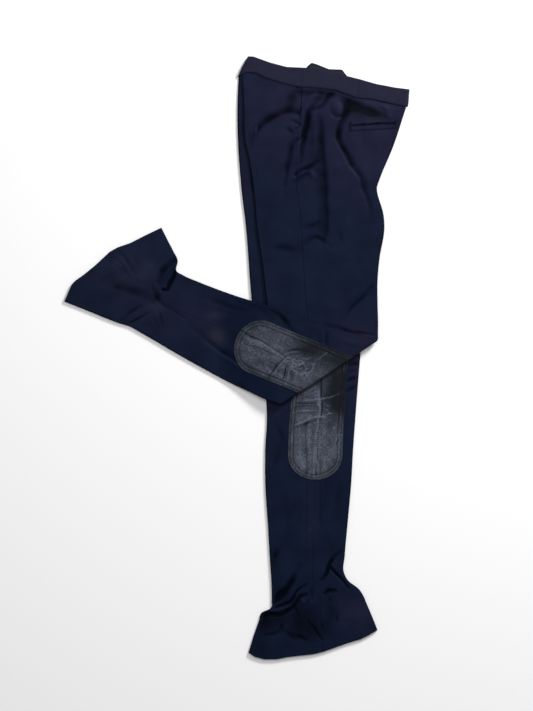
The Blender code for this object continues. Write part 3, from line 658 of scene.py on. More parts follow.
def inside_edge(outline, places):
    """How far each place lies inside a patch's edge."""
    edge = np.concatenate((outline[:, 0:2], outline[::-1, 2:4]))
    edge = np.concatenate((edge, edge[:1]))
    nearest = np.full(len(places), np.inf)
    for start, end in zip(edge[:-1], edge[1:]):
        way = end - start
        share = np.clip((places - start) @ way / max(way @ way, NO_LENGTH), 0, 1)
        nearest = np.minimum(nearest, np.linalg.norm(places - start - share[:, None] * way, axis=1))
    return nearest


def patch_places(outline, turn):
    """A patch's grid on the half laid straight."""
    shares = np.linspace(0, 1, PATCH_CELLS + 1)[None, :, None]
    places = outline[:, None, 0:2] * (1 - shares) + outline[:, None, 2:4] * shares
    shape = places.shape[:2]
    inset = inside_edge(outline, places.reshape(-1, 2)).reshape(shape)
    lift = SEAM + PATCH_WALL + table_value(PATCH_EDGE, inset)
    for row in STITCH_INSETS:
        lift = lift - STITCH_PULL * np.exp(-((inset - row) / STITCH_PULL_WIDTH) ** 2)
    return places, np.full(shape, turn), lift


def stitches(name, half, rows, turn, lift, pitch, length, finish, wrinkles=()):
    """Rows of stitches through a half's places, joined in one piece: each is a thread that comes up out of
    the cloth and goes down into it again."""
    flat, lifts, count = [], [], 0
    shares = np.linspace(-0.5, 0.5, STITCH_RINGS)
    ring = np.arange(THREAD_SIDES) * 2 * math.pi / THREAD_SIDES
    for row in rows:
        row = np.array(row, float)
        done = np.concatenate(([0], np.cumsum(np.linalg.norm(np.diff(row, axis=0), axis=1))))
        for middle in np.arange(pitch / 2, done[-1] - pitch / 2, pitch):
            along = middle + shares * length
            centre = np.column_stack([np.interp(along, done, row[:, axis]) for axis in (0, 1)])
            way = (centre[-1] - centre[0]) / np.linalg.norm(centre[-1] - centre[0])
            across = np.array((-way[1], way[0]))
            thick = THREAD * (1 - STITCH_TAPER * (2 * shares) ** 4)
            bow = lift + THREAD * (1 - STITCH_BOW * (2 * shares) ** 2)
            sideways = (thick[:, None] * np.cos(ring))[:, :, None] * across
            flat.append((centre[:, None] + sideways).reshape(-1, 2))
            lifts.append((bow[:, None] + thick[:, None] * np.sin(ring)).ravel())
            count += 1
    flat, out = np.concatenate(flat), np.concatenate(lifts)
    turns = np.full(len(flat), turn)
    if wrinkles:
        resting = half.settle(flat, rise_of(flat, turns))
        out = out + creases(resting[:, 0], resting[:, 1], wrinkles) * half.facing_up(flat)
    faces = []
    for first in range(0, count * STITCH_RINGS * THREAD_SIDES, STITCH_RINGS * THREAD_SIDES):
        for i in range(STITCH_RINGS - 1):
            for j in range(THREAD_SIDES):
                a, b = first + i * THREAD_SIDES + j, first + i * THREAD_SIDES + (j + 1) % THREAD_SIDES
                faces.append((a, b, b + THREAD_SIDES, a + THREAD_SIDES))
        last = first + (STITCH_RINGS - 1) * THREAD_SIDES
        faces.append(tuple(first + j for j in range(THREAD_SIDES))[::-1])
        faces.append(tuple(last + j for j in range(THREAD_SIDES)))
    piece = new_piece(name, on_half(half, flat, turns, out)[0], faces, finish)
    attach(piece, "root")


def inset_row(outline, inset):
    """A patch's outline moved in by a distance, with even steps."""
    edge = np.concatenate((outline[:, 0:2], outline[::-1, 2:4]))
    way = np.roll(edge, -1, axis=0) - np.roll(edge, 1, axis=0)
    way /= np.linalg.norm(way, axis=1)[:, None]
    moved = edge + inset * np.column_stack((-way[:, 1], way[:, 0]))
    return np.concatenate((moved, moved[:1]))


# Sewing thread: spun polyester, three plies twisted together, nearly black on the suede and navy on the
# cloth, with a slight lustre. The twist is drawn as fine bands along each stitch.
THREADS = {"black": "#14161d", "navy": "#0d1326"}
THREAD_TWIST = 0.9
sewing_thread = {}
for dye, thread_colour in THREADS.items():
    sewing_thread[dye], tree, shader = new_material(dye + "_sewing_thread")
    place = add_node(tree, "TexCoord", {}).outputs["Object"]
    twist = add_node(tree, "TexWave", {"Scale": 1 / (THREAD_TWIST * MM * BANDS_A_UNIT),
                                       "bands_direction": "DIAGONAL", "Vector": place})
    plies = add_node(tree, "MapRange", {"To Min": 0.7, "To Max": 1.3, "Value": twist.outputs["Fac"]})
    shaded = add_node(tree, "VectorMath", {"operation": "SCALE", 0: linear(thread_colour)[:3],
                                           "Scale": plies.outputs[0]})
    set_node(shader, {"Base Color": shaded.outputs[0], "Roughness": 0.55, "Specular IOR Level": 0.2})

# Suede: split cowhide with a brushed nap, charcoal. Where riding has rubbed it, the nap lies flat and
# shines grey; in the folds it stays dark and soft.
SUEDE_DARK = "#0b0f15"
SUEDE_WORN = "#535866"
PATCH_WORN = 0.33         # share of it all over
LEAST_WORN = 0.045
NAP = 1.6                 # clumps of fibres
SPECKLE = 2.1             # bald and matted places
PATCHY = 14               # wear that comes and goes over the whole patch
STREAKED = 0.45           # both are drawn out down the leg, to 1 / 0.45 of their width
suede, tree, shader = new_material("charcoal_suede")
grain = add_node(tree, "Attribute", {"attribute_name": "weave"}).outputs["Vector"]
worn = add_node(tree, "Attribute", {"attribute_name": "rubbed"}).outputs["Fac"]
raised = add_node(tree, "Attribute", {"attribute_name": "raised"}).outputs["Fac"]
streaked = add_node(tree, "Mapping", {"Scale": (1.0, STREAKED, 1.0), "Vector": grain})
patchy = add_node(tree, "TexNoise", {"Scale": 1 / PATCHY, "Detail": 6.0, "Roughness": 0.6,
                                     "Vector": streaked.outputs[0]})
nap = add_node(tree, "TexNoise", {"Scale": 1 / NAP, "Detail": 4.0, "Roughness": 0.65, "Vector": grain})
speckled = add_node(tree, "TexNoise", {"Scale": 1 / SPECKLE, "Detail": 2.0, "Roughness": 0.55,
                                       "Vector": streaked.outputs[0]})
from_ridges = add_node(tree, "MapRange", {"From Min": -0.8, "From Max": 1.0, "To Min": -0.34,
                                          "To Max": 0.72, "Value": raised})
from_noise = add_node(tree, "MapRange", {"From Min": 0.3, "From Max": 0.7, "To Min": 0.5, "To Max": 1.5,
                                         "Value": patchy.outputs["Fac"]})
from_speckle = add_node(tree, "MapRange", {"From Min": 0.3, "From Max": 0.7, "To Min": 0.45, "To Max": 1.55,
                                           "Value": speckled.outputs["Fac"]})
bare = add_node(tree, "Math", {"operation": "ADD", 0: worn, 1: from_ridges.outputs[0]})
bare = add_node(tree, "Math", {"operation": "MAXIMUM", 0: bare.outputs[0], 1: LEAST_WORN})
bare = add_node(tree, "Math", {"operation": "MULTIPLY", 0: bare.outputs[0], 1: from_speckle.outputs[0]})
wear = add_node(tree, "Math", {"operation": "MULTIPLY", "use_clamp": True, 0: bare.outputs[0],
                               1: from_noise.outputs[0]})
colour = add_node(tree, "Mix", {"data_type": "RGBA", 0: wear.outputs[0], 6: linear(SUEDE_DARK),
                                7: linear(SUEDE_WORN)})
fibres = add_node(tree, "MapRange", {"From Min": 0.3, "From Max": 0.7, "To Min": 0.75, "To Max": 1.25,
                                     "Value": nap.outputs["Fac"]})
shaded = add_node(tree, "VectorMath", {"operation": "SCALE", 0: colour.outputs[2],
                                       "Scale": fibres.outputs[0]})
gloss = add_node(tree, "MapRange", {"To Min": 0.85, "To Max": 0.5, "Value": wear.outputs[0]})
bump = add_node(tree, "Bump", {"Strength": 0.5, "Distance": 0.0002, "Height": nap.outputs["Fac"]})
set_node(shader, {"Base Color": shaded.outputs[0], "Roughness": gloss.outputs[0],
                  "Specular IOR Level": 0.08, "Normal": bump.outputs[0]})


def knee_patch(name, half, outline, turn, wrinkles, tone_places):
    """A patch of suede, worn all over, and greyer or darker in some places."""
    piece = sewn_cloth(name, half, patch_places(outline, turn), PATCH_WALL, suede, wrinkles)
    points = np.array([v.co for v in piece.data.vertices]) / MM + np.array((*MIDDLE, 0))
    amounts = PATCH_WORN + spots(points[:, 0], points[:, 1], tone_places)
    piece.data.attributes["rubbed"].data.foreach_set("value", amounts)


def patch_stitches(name, half, outline, turn, wrinkles):
    """The rows of stitches that hold a patch."""
    rows = [inset_row(outline, inset) for inset in STITCH_INSETS]
    height = SEAM + PATCH_WALL + PATCH_EDGE[-1][1] - STITCH_PULL
    stitches(name, half, rows, turn, height, STITCH_PITCH, STITCH_LENGTH, sewing_thread["black"],
             wrinkles)


right_outline = patch_outline(PATCH_RIGHT)
right_wrinkles = PATCH_RIGHT_CREASES + beads(*BEADS_RIGHT)
knee_patch("knee_patch_right", right, right_outline, 0.0, right_wrinkles, RIGHT_PATCH_TONE)
patch_stitches("knee_patch_right_stitches", right, right_outline, 0.0, right_wrinkles)

# ---------------------------------------------------------------------------------------------------------
# Right half's waistband: a straight strip of the same cloth on interlining, with a dark lining inside it.
# Between its ends it stands a little above the left half's band, and only the lining shows there.
BAND_WALL = 1.6
LINING_WALL = 1.0
HALF_WAIST = 322
BAND_ROWS = 14
BAND_STEP = 2.6
BAND_ROUND = 5            # at its two ends the band turns this far in, by this angle, in so many cells
BAND_CURL = math.pi / 3
CURL_CELLS = 5
LINING_INSET = 14
LINING_REACH = 0.9        # the lining ends below the band's top edge
BAND_JOIN = 0.005         # half the gap at a join of two pieces
JOIN_DIP = 0.16           # how far their edges roll down there
END_CELL = 0.5            # the cloth turns down this close to its end
RIGHT_BAND_SEAM = (0, 533.5, 320, 474)
RIGHT_BAND_TOP = (21, 566, 326.5, 508)
RIGHT_TOP_WAVE = ((21, 0), (110, 0), (129, 3), (134, 10), (141, 17), (150, 16), (174, 11), (199, 15),
                  (204, 9), (210, 3), (232, 0), (327, 0))


def band_places(half, seam_ends, top_ends, top_wave, shares, curl, start, out, lean=0.0, reach=1.0):
    """A stretch of waistband's grid, from its seam edge to its top edge, or part of the way to it. curl:
    whether each end turns in. lean: how far its joins lean, as a share of the width."""
    places, turns, lifts = [], [], []
    for f in np.linspace(0, reach, BAND_ROWS + 1):
        row = np.array(seam_ends, float) * (1 - f) + np.array(top_ends, float) * f
        front, back = row[0:2], row[2:4]
        width = np.linalg.norm(back - front)
        first = BAND_ROUND if curl[0] else (shares[0] + lean * f) * width + BAND_JOIN
        last = width - BAND_ROUND if curl[1] else (shares[1] + lean * f) * width - BAND_JOIN
        cells = round((shares[1] - shares[0]) * HALF_WAIST / BAND_STEP)
        between = np.linspace(first + END_CELL, last - END_CELL, cells + 1)
        across = np.concatenate(([first], between, [last]))
        turn = np.full(len(across), start)
        bend = np.linspace(0, 1, CURL_CELLS + 1)[1:] * BAND_CURL
        edge = BAND_ROUND * (1 - np.sin(bend) / math.sin(BAND_CURL))
        bend = np.abs(start - bend)
        if curl[0]:
            across, turn = np.concatenate((edge[::-1], across)), np.concatenate((bend[::-1], turn))
        if curl[1]:
            across, turn = np.concatenate((across, width - edge)), np.concatenate((turn, bend))
        place = front + (back - front) * (across / width)[:, None]
        place[:, 1] += (SEAM / 2 + table_value(half.seam_wave, place[:, 0])) * (1 - f)
        place[:, 1] += table_value(top_wave, place[:, 0]) * f
        places.append(place)
        turns.append(turn)
        ends = np.zeros(len(across))
        ends[0] = -JOIN_DIP * (1 - curl[0])
        ends[-1] = -JOIN_DIP * (1 - curl[1])
        lifts.append(out(f) + ends)
    return np.array(places), np.array(turns), np.array(lifts)


# Waistband cloth: the same gabardine with its weft along the band, pressed on interlining. The crosswise
# ribs catch more light, so it looks a little paler, with fine lines along it.
BAND_NAVY = "#191b2d"
BAND_RIB = 2.4            # drawn coarser than the real 0.6 mm, to show
BAND_SLOPE = math.radians(90 + 10.5)
BAND_MOTTLE = 12
band_cloth, tree, shader = new_material("navy_waistband_gabardine")
weave = add_node(tree, "Attribute", {"attribute_name": "weave"}).outputs["Vector"]
level = add_node(tree, "Mapping", {"Rotation": (0, 0, BAND_SLOPE), "Vector": weave})
ribs = add_node(tree, "TexWave", {"Scale": 1 / (BAND_RIB * BANDS_A_UNIT), "Distortion": 1.2, "Detail": 2.0,
                                  "Detail Scale": 0.1, "Vector": level.outputs[0]})
mottle = add_node(tree, "TexNoise", {"Scale": 1 / BAND_MOTTLE, "Detail": 4.0, "Vector": weave})
lines = add_node(tree, "MapRange", {"To Min": 0.88, "To Max": 1.12, "Value": ribs.outputs["Fac"]})
uneven = add_node(tree, "MapRange", {"From Min": 0.3, "From Max": 0.7, "To Min": 0.88, "To Max": 1.12,
                                     "Value": mottle.outputs["Fac"]})
shade = add_node(tree, "Math", {"operation": "MULTIPLY", 0: lines.outputs[0], 1: uneven.outputs[0]})
shaded = add_node(tree, "VectorMath", {"operation": "SCALE", 0: linear(BAND_NAVY)[:3],
                                       "Scale": shade.outputs[0]})
bump = add_node(tree, "Bump", {"Strength": 0.4, "Distance": 0.00015, "Height": ribs.outputs["Fac"]})
set_node(shader, {"Base Color": shaded.outputs[0], "Roughness": 0.48, "Specular IOR Level": 0.06,
                  "Normal": bump.outputs[0]})

# Lining: plain-woven cotton, charcoal with a green cast, matt.
LINING_DARK = "#20242b"
LINING_THREADS = 1.2      # drawn coarser than the real 0.4 mm, to show
lining_cloth, tree, shader = new_material("charcoal_cotton_lining")
weave = add_node(tree, "Attribute", {"attribute_name": "weave"}).outputs["Vector"]
warp = add_node(tree, "TexWave", {"Scale": 1 / (LINING_THREADS * BANDS_A_UNIT), "Vector": weave})
weft = add_node(tree, "TexWave", {"Scale": 1 / (LINING_THREADS * BANDS_A_UNIT), "bands_direction": "Y",
                                  "Vector": weave})
crossing = add_node(tree, "Math", {"operation": "MULTIPLY", 0: warp.outputs["Fac"], 1: weft.outputs["Fac"]})
threads = add_node(tree, "MapRange", {"To Min": 0.85, "To Max": 1.25, "Value": crossing.outputs[0]})
shaded = add_node(tree, "VectorMath", {"operation": "SCALE", 0: linear(LINING_DARK)[:3],
                                       "Scale": threads.outputs[0]})
bump = add_node(tree, "Bump", {"Strength": 0.4, "Distance": 0.0001, "Height": crossing.outputs[0]})
set_node(shader, {"Base Color": shaded.outputs[0], "Roughness": 0.85, "Specular IOR Level": 0.15,
                  "Normal": bump.outputs[0]})

strip = band_places(right, RIGHT_BAND_SEAM, RIGHT_BAND_TOP, RIGHT_TOP_WAVE, (0, 1), (True, True), math.pi,
                    lambda f: 0)
sewn_cloth("waistband_right", right, strip, BAND_WALL, band_cloth)
shares = (LINING_INSET / HALF_WAIST, 1 - LINING_INSET / HALF_WAIST)
strip = band_places(right, RIGHT_BAND_SEAM, RIGHT_BAND_TOP, RIGHT_TOP_WAVE, shares, (False, False), math.pi,
                    lambda f: -(BAND_WALL + SEAM), reach=LINING_REACH)
sewn_cloth("waistband_right_lining", right, strip, LINING_WALL, lining_cloth)

# ---------------------------------------------------------------------------------------------------------
# Left leg: the same two panels, outer side up from the waist to the knee. Past the fold at the knee the
# lower leg runs back to the left with its inner side up, over the thigh and down on to the table.
FOLD_ROOM = 0.8           # between the thigh and the folded leg
FOLD_REACH = 0.55         # the fold is pressed flatter than round
FOLD_CALM = (4, 16)       # creases fade out between these distances from it
FALL_LENGTH = 112         # the folded leg comes down to the table over this length past the thigh
PATCH_ROOM = ((-600, 2.7), (95, 2.7), (180, 0.0))      # y, room for the two patches under the thigh
OVERHANG_FALL = 3.5       # past the right leg's back edge the left half sinks, between these distances
OVERHANG = (14, 58)
INSEAM_LEFT = 0.53
BAND_TUCK = 4             # the panels run up this far under the waistband
# The waist seam's wave: x, height
SEAM_WAVE = ((4, 0), (20, 8.5), (37, 9.8), (51, 4.5), (94, -0.4), (121, -0.6), (156, 4.4), (189, 5.8),
             (227, -1), (253, 2), (321, 0))
POCKET_CUT = ((440, 0), (455, 1), (468, 11), (484, 15), (500, 13), (535, 7))   # y, cut
LEFT_CELLS = {"front": (34, 44), "back": (58, 36)}
LEFT_STATIONS = (
    (8, 534.2, 321, 475.1, 0, ROW_STEP),
    (11.5, 480, 305, 429, 0, ROW_STEP),
    (13, 419, 285, 376, 0, ROW_STEP),
    (21, 380, 272, 344, 0, ROW_STEP),
    (30, 320, 265, 317, 0, ROW_STEP),
    (33, 285, 277, 273, 0, ROW_STEP),
    (36, 250, 279, 247, 0, ROW_STEP),
    (46, 182, 270, 190, 0, ROW_STEP),
    (55, 106, 266, 146, 0, ROW_STEP),
    (65, 30, 266, 105, 0, ROW_STEP),
    (76, -40, 267, 66, 0, ROW_STEP),
    (83.5, -84, 267, 38, 0, ROW_STEP),
    (85.5, -101, 268, 22, 0, FINE_STEP),
    (84, -122, 267.5, -2, 0, ROW_STEP),
    (85, -155, 260.5, -42, 0, ROW_STEP),
    (87, -205, 252.5, -110, 0, ROW_STEP),
    (92, -258, 250, -185, 0, ROW_STEP),
    (98, -312, 243, -255, 0, ROW_STEP),
    (105, -365, 240, -330, 0, ROW_STEP),
    (109, -398, 240.5, -362, 0, ROW_STEP),
    (111, -418, 244.5, -377.5, 2, FINE_STEP),
    (109, -437, 260.5, -381, 5, FINE_STEP),
    (108, -462, 275, -396, 9, FINE_STEP),
    (107.5, -500, 290, -414, 17, FINE_STEP),
    (106.5, -549.6, 307.5, -434.5, 27, FINE_STEP),
)
HEM_LEFT = ((0, 0), (0.175, 0.74), (0.22, 0.81), (0.31, 0.78), (0.43, 0.82), (0.53, 0.91),
            (0.6, 0.98), (0.67, 0.87), (0.75, 0.54), (0.86, 0.32), (1, 0))
LEFT_CREASES = (
    # fold that curves across the front, and the hollow beside the side pocket
    (((20, 402), (27, 416), (45, 441), (72, 459), (100, 466), (114, 464)), 16, 8, -6.0, 0.6, 0.3, 0.7),
    (((108, 505), (101, 490), (97, 475)), 14, 14, -2.4, 0, 0.4, 0.7),
    (((102, 449), (110, 447), (118, 443)), 4, 5, -3.4, 0.6, 0.4, 1),
    (((101, 441), (110, 426), (115, 418)), 4, 4, 1.8, 0.4, 0.6, 0.7),
    (((87, 433), (99, 429), (111, 424)), 9, 3.5, -2.6, 0.4, 0.2, 1),
    # creases that run down from the side pocket: puffed ridge, deep valley, ridge, second valley
    (((150, 502), (137, 492), (126, 475), (121, 462)), 6, 6, 3.0, 0.2, 0.6, 0.5),
    (((152, 491), (145, 481), (137, 473), (132, 457), (129, 438), (124, 419)), 11, 5, -5.0, 0.6, 0.4, 0.8),
    (((132, 455), (129, 438), (124, 419), (120, 394), (118, 378), (115, 362)), 10, 4, -5.6, 0.75, 0.5, 0.3),
    (((147, 477), (152, 483)), 5, 5, 1.8, 0, 0.8, 0.8),
    (((116, 413), (106, 407), (101, 394), (97, 378), (94, 362), (91, 338), (87, 313)),
     6, 11, -4.2, 0.65, 0.9, 0.15),
    (((111, 388), (106, 371), (99, 349)), 5, 5, 2.2, 0.2, 0.5, 0.3),
    # puffed cloth below the band, with a hollow round it
    (((120, 503), (148, 507), (178, 502)), 14, 12, -4.0, 0, 0.6, 0.6),
    (((143, 471), (152, 473), (161, 478), (170, 493), (180, 503), (190, 505), (204, 501)),
     6, 6, -4.4, 0.6, 0.7, 0.4),
    (((180, 488), (187, 482), (194, 470), (190, 463)), 11, 13, 1.8, 0.4, 0.6, 0.6),
    (((175, 475), (179, 464), (188, 457), (198, 460), (207, 474), (212, 487)), 8, 6, -4.8, 0.7, 0.4, 0.6),
    (((146, 462), (147, 430), (147, 385)), 9, 9, 1.6, 0, 0.4, 0.3),
    (((157, 458), (158, 425), (158, 392)), 8, 7, -2.0, 0.2, 0.5, 0.6),
    # dart: its edge, and the hollow between the band and the back pocket
    (((216, 497), (243, 488), (272, 477), (288, 466), (301, 452)), 40, 22, 2.6, 0.7, 0.5, 0.6),
    (((227, 491.5), (246, 486), (265, 479), (285, 468), (302, 454)), 1.8, 3.4, -1.5, 0.6, 0.5, 0.8),
    (((205, 488), (222, 480), (243, 471), (266, 461), (284, 455)), 20, 15, -3.0, 0, 0.9, 0.5),
    (((252, 493), (268, 484), (283, 470), (290, 458)), 3.5, 4.5, 2.4, 0.4, 0.5, 0.8),
    # long diagonal from the band to the back of the thigh
    (((206, 468), (200, 457), (194, 445), (190, 432), (189, 418), (193, 409), (199, 397), (207, 381),
      (215, 365)), 13, 5, -6.0, 0.75, 0.7, 0.55),
    (((199, 397), (207, 381), (215, 365), (224, 353), (232, 342), (239, 319), (247, 291), (253, 266),
      (254, 243)), 14, 6, -4.0, 0.6, 0.4, 0.1),
    (((214, 440), (208, 415), (218, 393)), 13, 13, -1.6, 0, 0.4, 0.5),
    # mouth of the back pocket
    (((219, 439.5), (240, 441.5), (270, 443), (298, 444)), 3.5, 3.5, -2.6, 0.5, 0.7, 0.9),
    # thigh: a crest with a steep side to the front, small crinkles, wrinkles across
    (((168, 402), (174, 362), (175, 300), (173, 252), (170, 232)), 48, 14, 2.4, 0.6, 0.2, 0.4),
    (((157, 455), (162, 400), (165, 350), (167, 300), (168, 262), (167, 232)), 5, 26, -3.4, 0, 0.3, 0.7),
    (((128, 470), (140, 420), (142, 340)), 34, 30, -2.4, 0, 0.4, 0.3),
    (((150, 371), (136, 361), (120, 355), (110, 347)), 6, 6, -5.0, 0.4, 0.4, 0.8),
    (((139, 349), (146, 343)), 9, 9, 2.2, 0, 0.7, 0.7),
    (((134, 348), (117, 341), (107, 333)), 6, 6, -4.4, 0.4, 0.6, 0.4),
    (((126, 353), (114, 345), (108, 340)), 3.5, 3.5, 2.0, 0.2, 0.6, 0.4),
    (((129, 244), (144, 251), (155, 255)), 7, 6, -2.9, 0.3, 0.5, 0.4),
    (((131, 236), (148, 240), (163, 228), (173, 216)), 5, 5, 0.6, 0.2, 0.3, 0.3),
    (((127, 214), (140, 226), (152, 228), (164, 222), (176, 211)), 6, 6, -2.8, 0.3, 0.5, 0.4),
    (((72, 204), (89, 208), (101, 204), (115, 200)), 11, 9, -1.7, 0.1, 0.4, 0.5),
    (((184, 253), (194, 228), (206, 208)), 7, 7, -1.2, 0.2, 0.3, 0.3),
    (((59, 201), (78, 208), (99, 205)), 12, 12, -1.6, 0, 0.3, 0.3),
    # beside the fold at the knee, and along the folded leg's edge
    (((148, 66), (162, 62.5), (190, 56), (214, 49.5), (240, 45.5), (264, 42)), 4.5, 3, -2.6, 0.4, 0.2, 0.8),
    (((198, 71), (202.5, 87), (214, 103), (233, 122.5), (256, 144)), 3.6, 3.6, 1.9, 0.2, 0.4, 0.4),
    (((205, 72), (209, 85), (220, 99), (239, 117), (258, 136)), 3.6, 7, -2.2, 0.4, 0.3, 0.5),
)
FOLDED_CREASES = (
    # pleat at the top of the bell
    (((-117, 167), (-119, 163), (-123, 151), (-129, 141), (-133, 129), (-142, 128)),
     5.2, 4.6, -5.3, 0.6, 1, 0.9),
    (((-119, 163), (-126, 150), (-134, 137)), 7, 5, -1.0, 0.1, 0.7, 0.7),
    (((-116.5, 175), (-126, 162), (-137, 144), (-142, 134.6)), 4, 4, 2.0, 0.2, 0.7, 0.5),
    (((-118, 188), (-131, 177), (-142, 166), (-148, 152), (-150, 144)), 12, 10, -2.8, 0.1, 0.7, 0.7),
    (((-158.5, 128), (-152, 116), (-142, 102)), 12, 10, -0.9, 0.1, 0.6, 0.5),
    # valleys that run on from it down the leg
    (((-163, 133), (-154, 116), (-144, 102), (-129, 93), (-106, 78), (-86, 65)), 6, 6, -0.9, 0.3, 0.4, 0.2),
    (((-97, 61), (-74, 46), (-55, 30), (-36, 15), (-17, 2), (2, -12), (25, -27)),
     12, 7, -1.8, 0.4, 0.2, 0.6),
    # creases at the lower edge
    (((-224, 68), (-207, 82), (-190, 95), (-175, 103)), 4, 4, -2.4, 0.6, 0.8, 0.2),
    (((-209, 62), (-190, 73), (-173, 84), (-162, 89)), 4, 4, -2.4, 0.6, 0.8, 0.2),
    (((-215, 66), (-196, 82), (-179, 93)), 4, 4, 0.9, 0.2, 0.6, 0.2),
    (((-146, 94), (-142, 78), (-138, 59)), 3.5, 3.5, 0.9, 0.5, 0.4, 0.4),
    (((-160, 94), (-154, 76), (-149, 63)), 3.5, 3.5, 0.8, 0.5, 0.4, 0.4),
    (((-152, 89), (-148, 74), (-143, 59)), 3, 3, -0.7, 0.3, 0.4, 0.3),
    # pressed inseam of the bell, and its dents
    (((-234.5, 198), (-224, 188), (-215.5, 177), (-210, 169), (-200, 152)), 3.4, 3.4, 1.1, 0.4, 0.6, 0.4),
    (((-228, 205), (-217, 191), (-208, 178), (-198, 162)), 3, 3, -1.1, 0.4, 0.6, 0.4),
    (((-222, 208), (-211, 195), (-202, 183), (-193, 170)), 3, 3, 0.8, 0.4, 0.6, 0.4),
    (((-241, 137), (-232, 132), (-220, 131)), 7, 7, -0.9, 0.2, 0.3, 0.3),
    (((-255, 150), (-230, 137), (-205, 127), (-182, 118), (-163, 110)), 15, 15, -1.4, 0, 0.3, 0.6),
    # round the knee patch
    (((-65, 112), (-32, 103), (-2, 93), (28, 86)), 9, 9, -1.2, 0.1, 0.3, 0.6),
    (((-51, 17), (-23, -2), (6, -21), (36, -40)), 8, 8, 0.8, 0, 0.3, 0.5),
    (((40, 104), (59, 95), (80, 82), (91, 70), (103, 53), (114, 42)), 7, 12, -2.2, 0.5, 0.3, 0.5),
    (((-21, 114), (10, 104), (40, 93), (66, 74)), 14, 14, -1.3, 0, 0.3, 0.5),
    (((155, 44), (157, 24)), 4, 4, -1.6, 0.6, 0.3, 1),
    (((169, 51), (170, 22)), 5, 5, -2.4, 0.6, 0.5, 1),
    (((163, 49), (164, 24)), 4, 4, 0.9, 0, 0.5, 0.8),
    (((184, 40), (215, 28), (245, 25)), 9, 9, 0.9, 0, 0.3, 0.3),
)
PELVIS_DEEPEST = -7.0     # above the crotch, where no inner layer lies below, reached between these y
PELVIS_FADE = (CROTCH_BOTTOM - 20, CROTCH_BOTTOM + 40)
CREASE_SHADE_LEFT = ((130, 1), (250, 0.5))        # y, how much a crease's depth darkens its colour, as painted shade
TURNED_AWAY_LEFT = ((210, 477, 16, 16, 1.8), (238, 468, 26, 15, 1.9), (268, 462, 22, 9, 1.5),
                    (104, 488, 13, 20, 0.7), (192, 424, 9, 22, 0.8), (157, 499, 34, 10, 1.1),
                    (-152, 113, 7, 13, 1.1), (-129, 146, 7, 12, 1.0), (-190, 128, 30, 9, 0.5))
LEFT_PLUM = ((60, 480, 90, 120, 0.7), (250, 440, 110, 130, 1.0), (150, 500, 80, 40, 0.4),
             (-230, 150, 70, 90, 0.2), (-100, 80, 90, 60, 0.4), (240, 30, 50, 50, 0.8))
LEFT_RUBBED = ((236, 470, 34, 14, 0.22), (268, 460, 18, 8, 0.22), (-170, 205, 46, 34, 0.06),
               (-250, 150, 60, 50, 0.03), (-38, 40, 16, 18, 0.28), (-42, 80, 16, 8, 0.16),
               (-190, 155, 30, 14, 0.1), (-165, 171, 22, 14, 0.1), (-152, 98, 16, 14, 0.12),
               (-230, 180, 20, 10, 0.1), (-200, 80, 26, 10, 0.08))


class LeftHalf:
    """The half on top: outer layer up, lower leg folded back over the thigh."""
    stations = LEFT_STATIONS
    hem = HEM_LEFT
    inseam = INSEAM_LEFT
    cells = LEFT_CELLS
    outer_turn = 0.0
    seam_wave = SEAM_WAVE
    pocket_cut = POCKET_CUT
    tuck = BAND_TUCK
    crease_shade_share = CREASE_SHADE_LEFT
    turned_away = TURNED_AWAY_LEFT
    slack_seeds = (5, 8)      # thigh, folded leg

    def __init__(self):
        front, back = np.array(FOLD_FRONT), np.array(FOLD_BACK)
        along = (back - front) / np.linalg.norm(back - front)
        self.down = np.array((along[1], -along[0]))      # across the fold line, down the leg
        self.radius = table_value(HALF_HEIGHT, 0) + FOLD_ROOM

    def past_fold(self, flat):
        """How far down the leg from the fold line each place lies."""
        return (flat - np.array(FOLD_FRONT)) @ self.down

    def facing_up(self, flat):
        """The patch has its creases where it faces up, past the fold; the rest lies pressed below."""
        return ease(self.past_fold(flat), -self.radius, 0)

    def relief(self, flat, x, y, upward):
        """How far creases lift it: the layers that face up, apart from right at the fold."""
        past = self.past_fold(flat)
        deepest = DEEPEST + (PELVIS_DEEPEST - DEEPEST) * ease(y, *PELVIS_FADE)
        top = np.maximum(creases(x, y, LEFT_CREASES) + slack(x, y, self.slack_seeds[0]), deepest)
        under = np.maximum(creases(x, y, FOLDED_CREASES) + slack(x, y, self.slack_seeds[1]), DEEPEST)
        lift = np.where(past > 0, np.where(upward < 0, under, 0), np.where(upward > 0, top, 0))
        return lift * ease(np.abs(past), *FOLD_CALM)

    def settle(self, flat, height):
        """Folds the straight leg at the knee, and lets it lie on what is under it."""
        radius = self.radius
        past = self.past_fold(flat) + radius
        angle = np.clip(past * math.pi / (2 * radius), 0, math.pi)
        arm = radius - height
        bent = np.where(past < 2 * radius, FOLD_REACH * arm * np.sin(angle), 2 * radius - past)
        moved = np.where(past < 0, past, bent)
        flat = flat + self.down * (moved - past)[:, None]
        x, y = flat[:, 0], flat[:, 1]
        sunk = OVERHANG_FALL * ease(x - edge_x(RIGHT_STATIONS, y, 2), *OVERHANG)
        half_height = table_value(HALF_HEIGHT, y)
        base = half_height + SEAM + table_value(PATCH_ROOM, y) - sunk
        folded_base = base + 2 * radius - table_value(HALF_HEIGHT, 0)
        thigh_front = np.where(y > FOLD_FRONT[1], edge_x(LEFT_STATIONS, y, 0), FOLD_FRONT[0])
        fallen = ease(thigh_front - x, 0, FALL_LENGTH) * folded_base * (1 - np.cos(angle)) / 2
        z = base + np.where(past < 0, height, radius - arm * np.cos(angle)) - fallen
        return np.column_stack((x, y, z))

    def plum(self, x, y):
        return spots(x, y, LEFT_PLUM)

    def rubbed(self, x, y):
        return spots(x, y, LEFT_RUBBED)


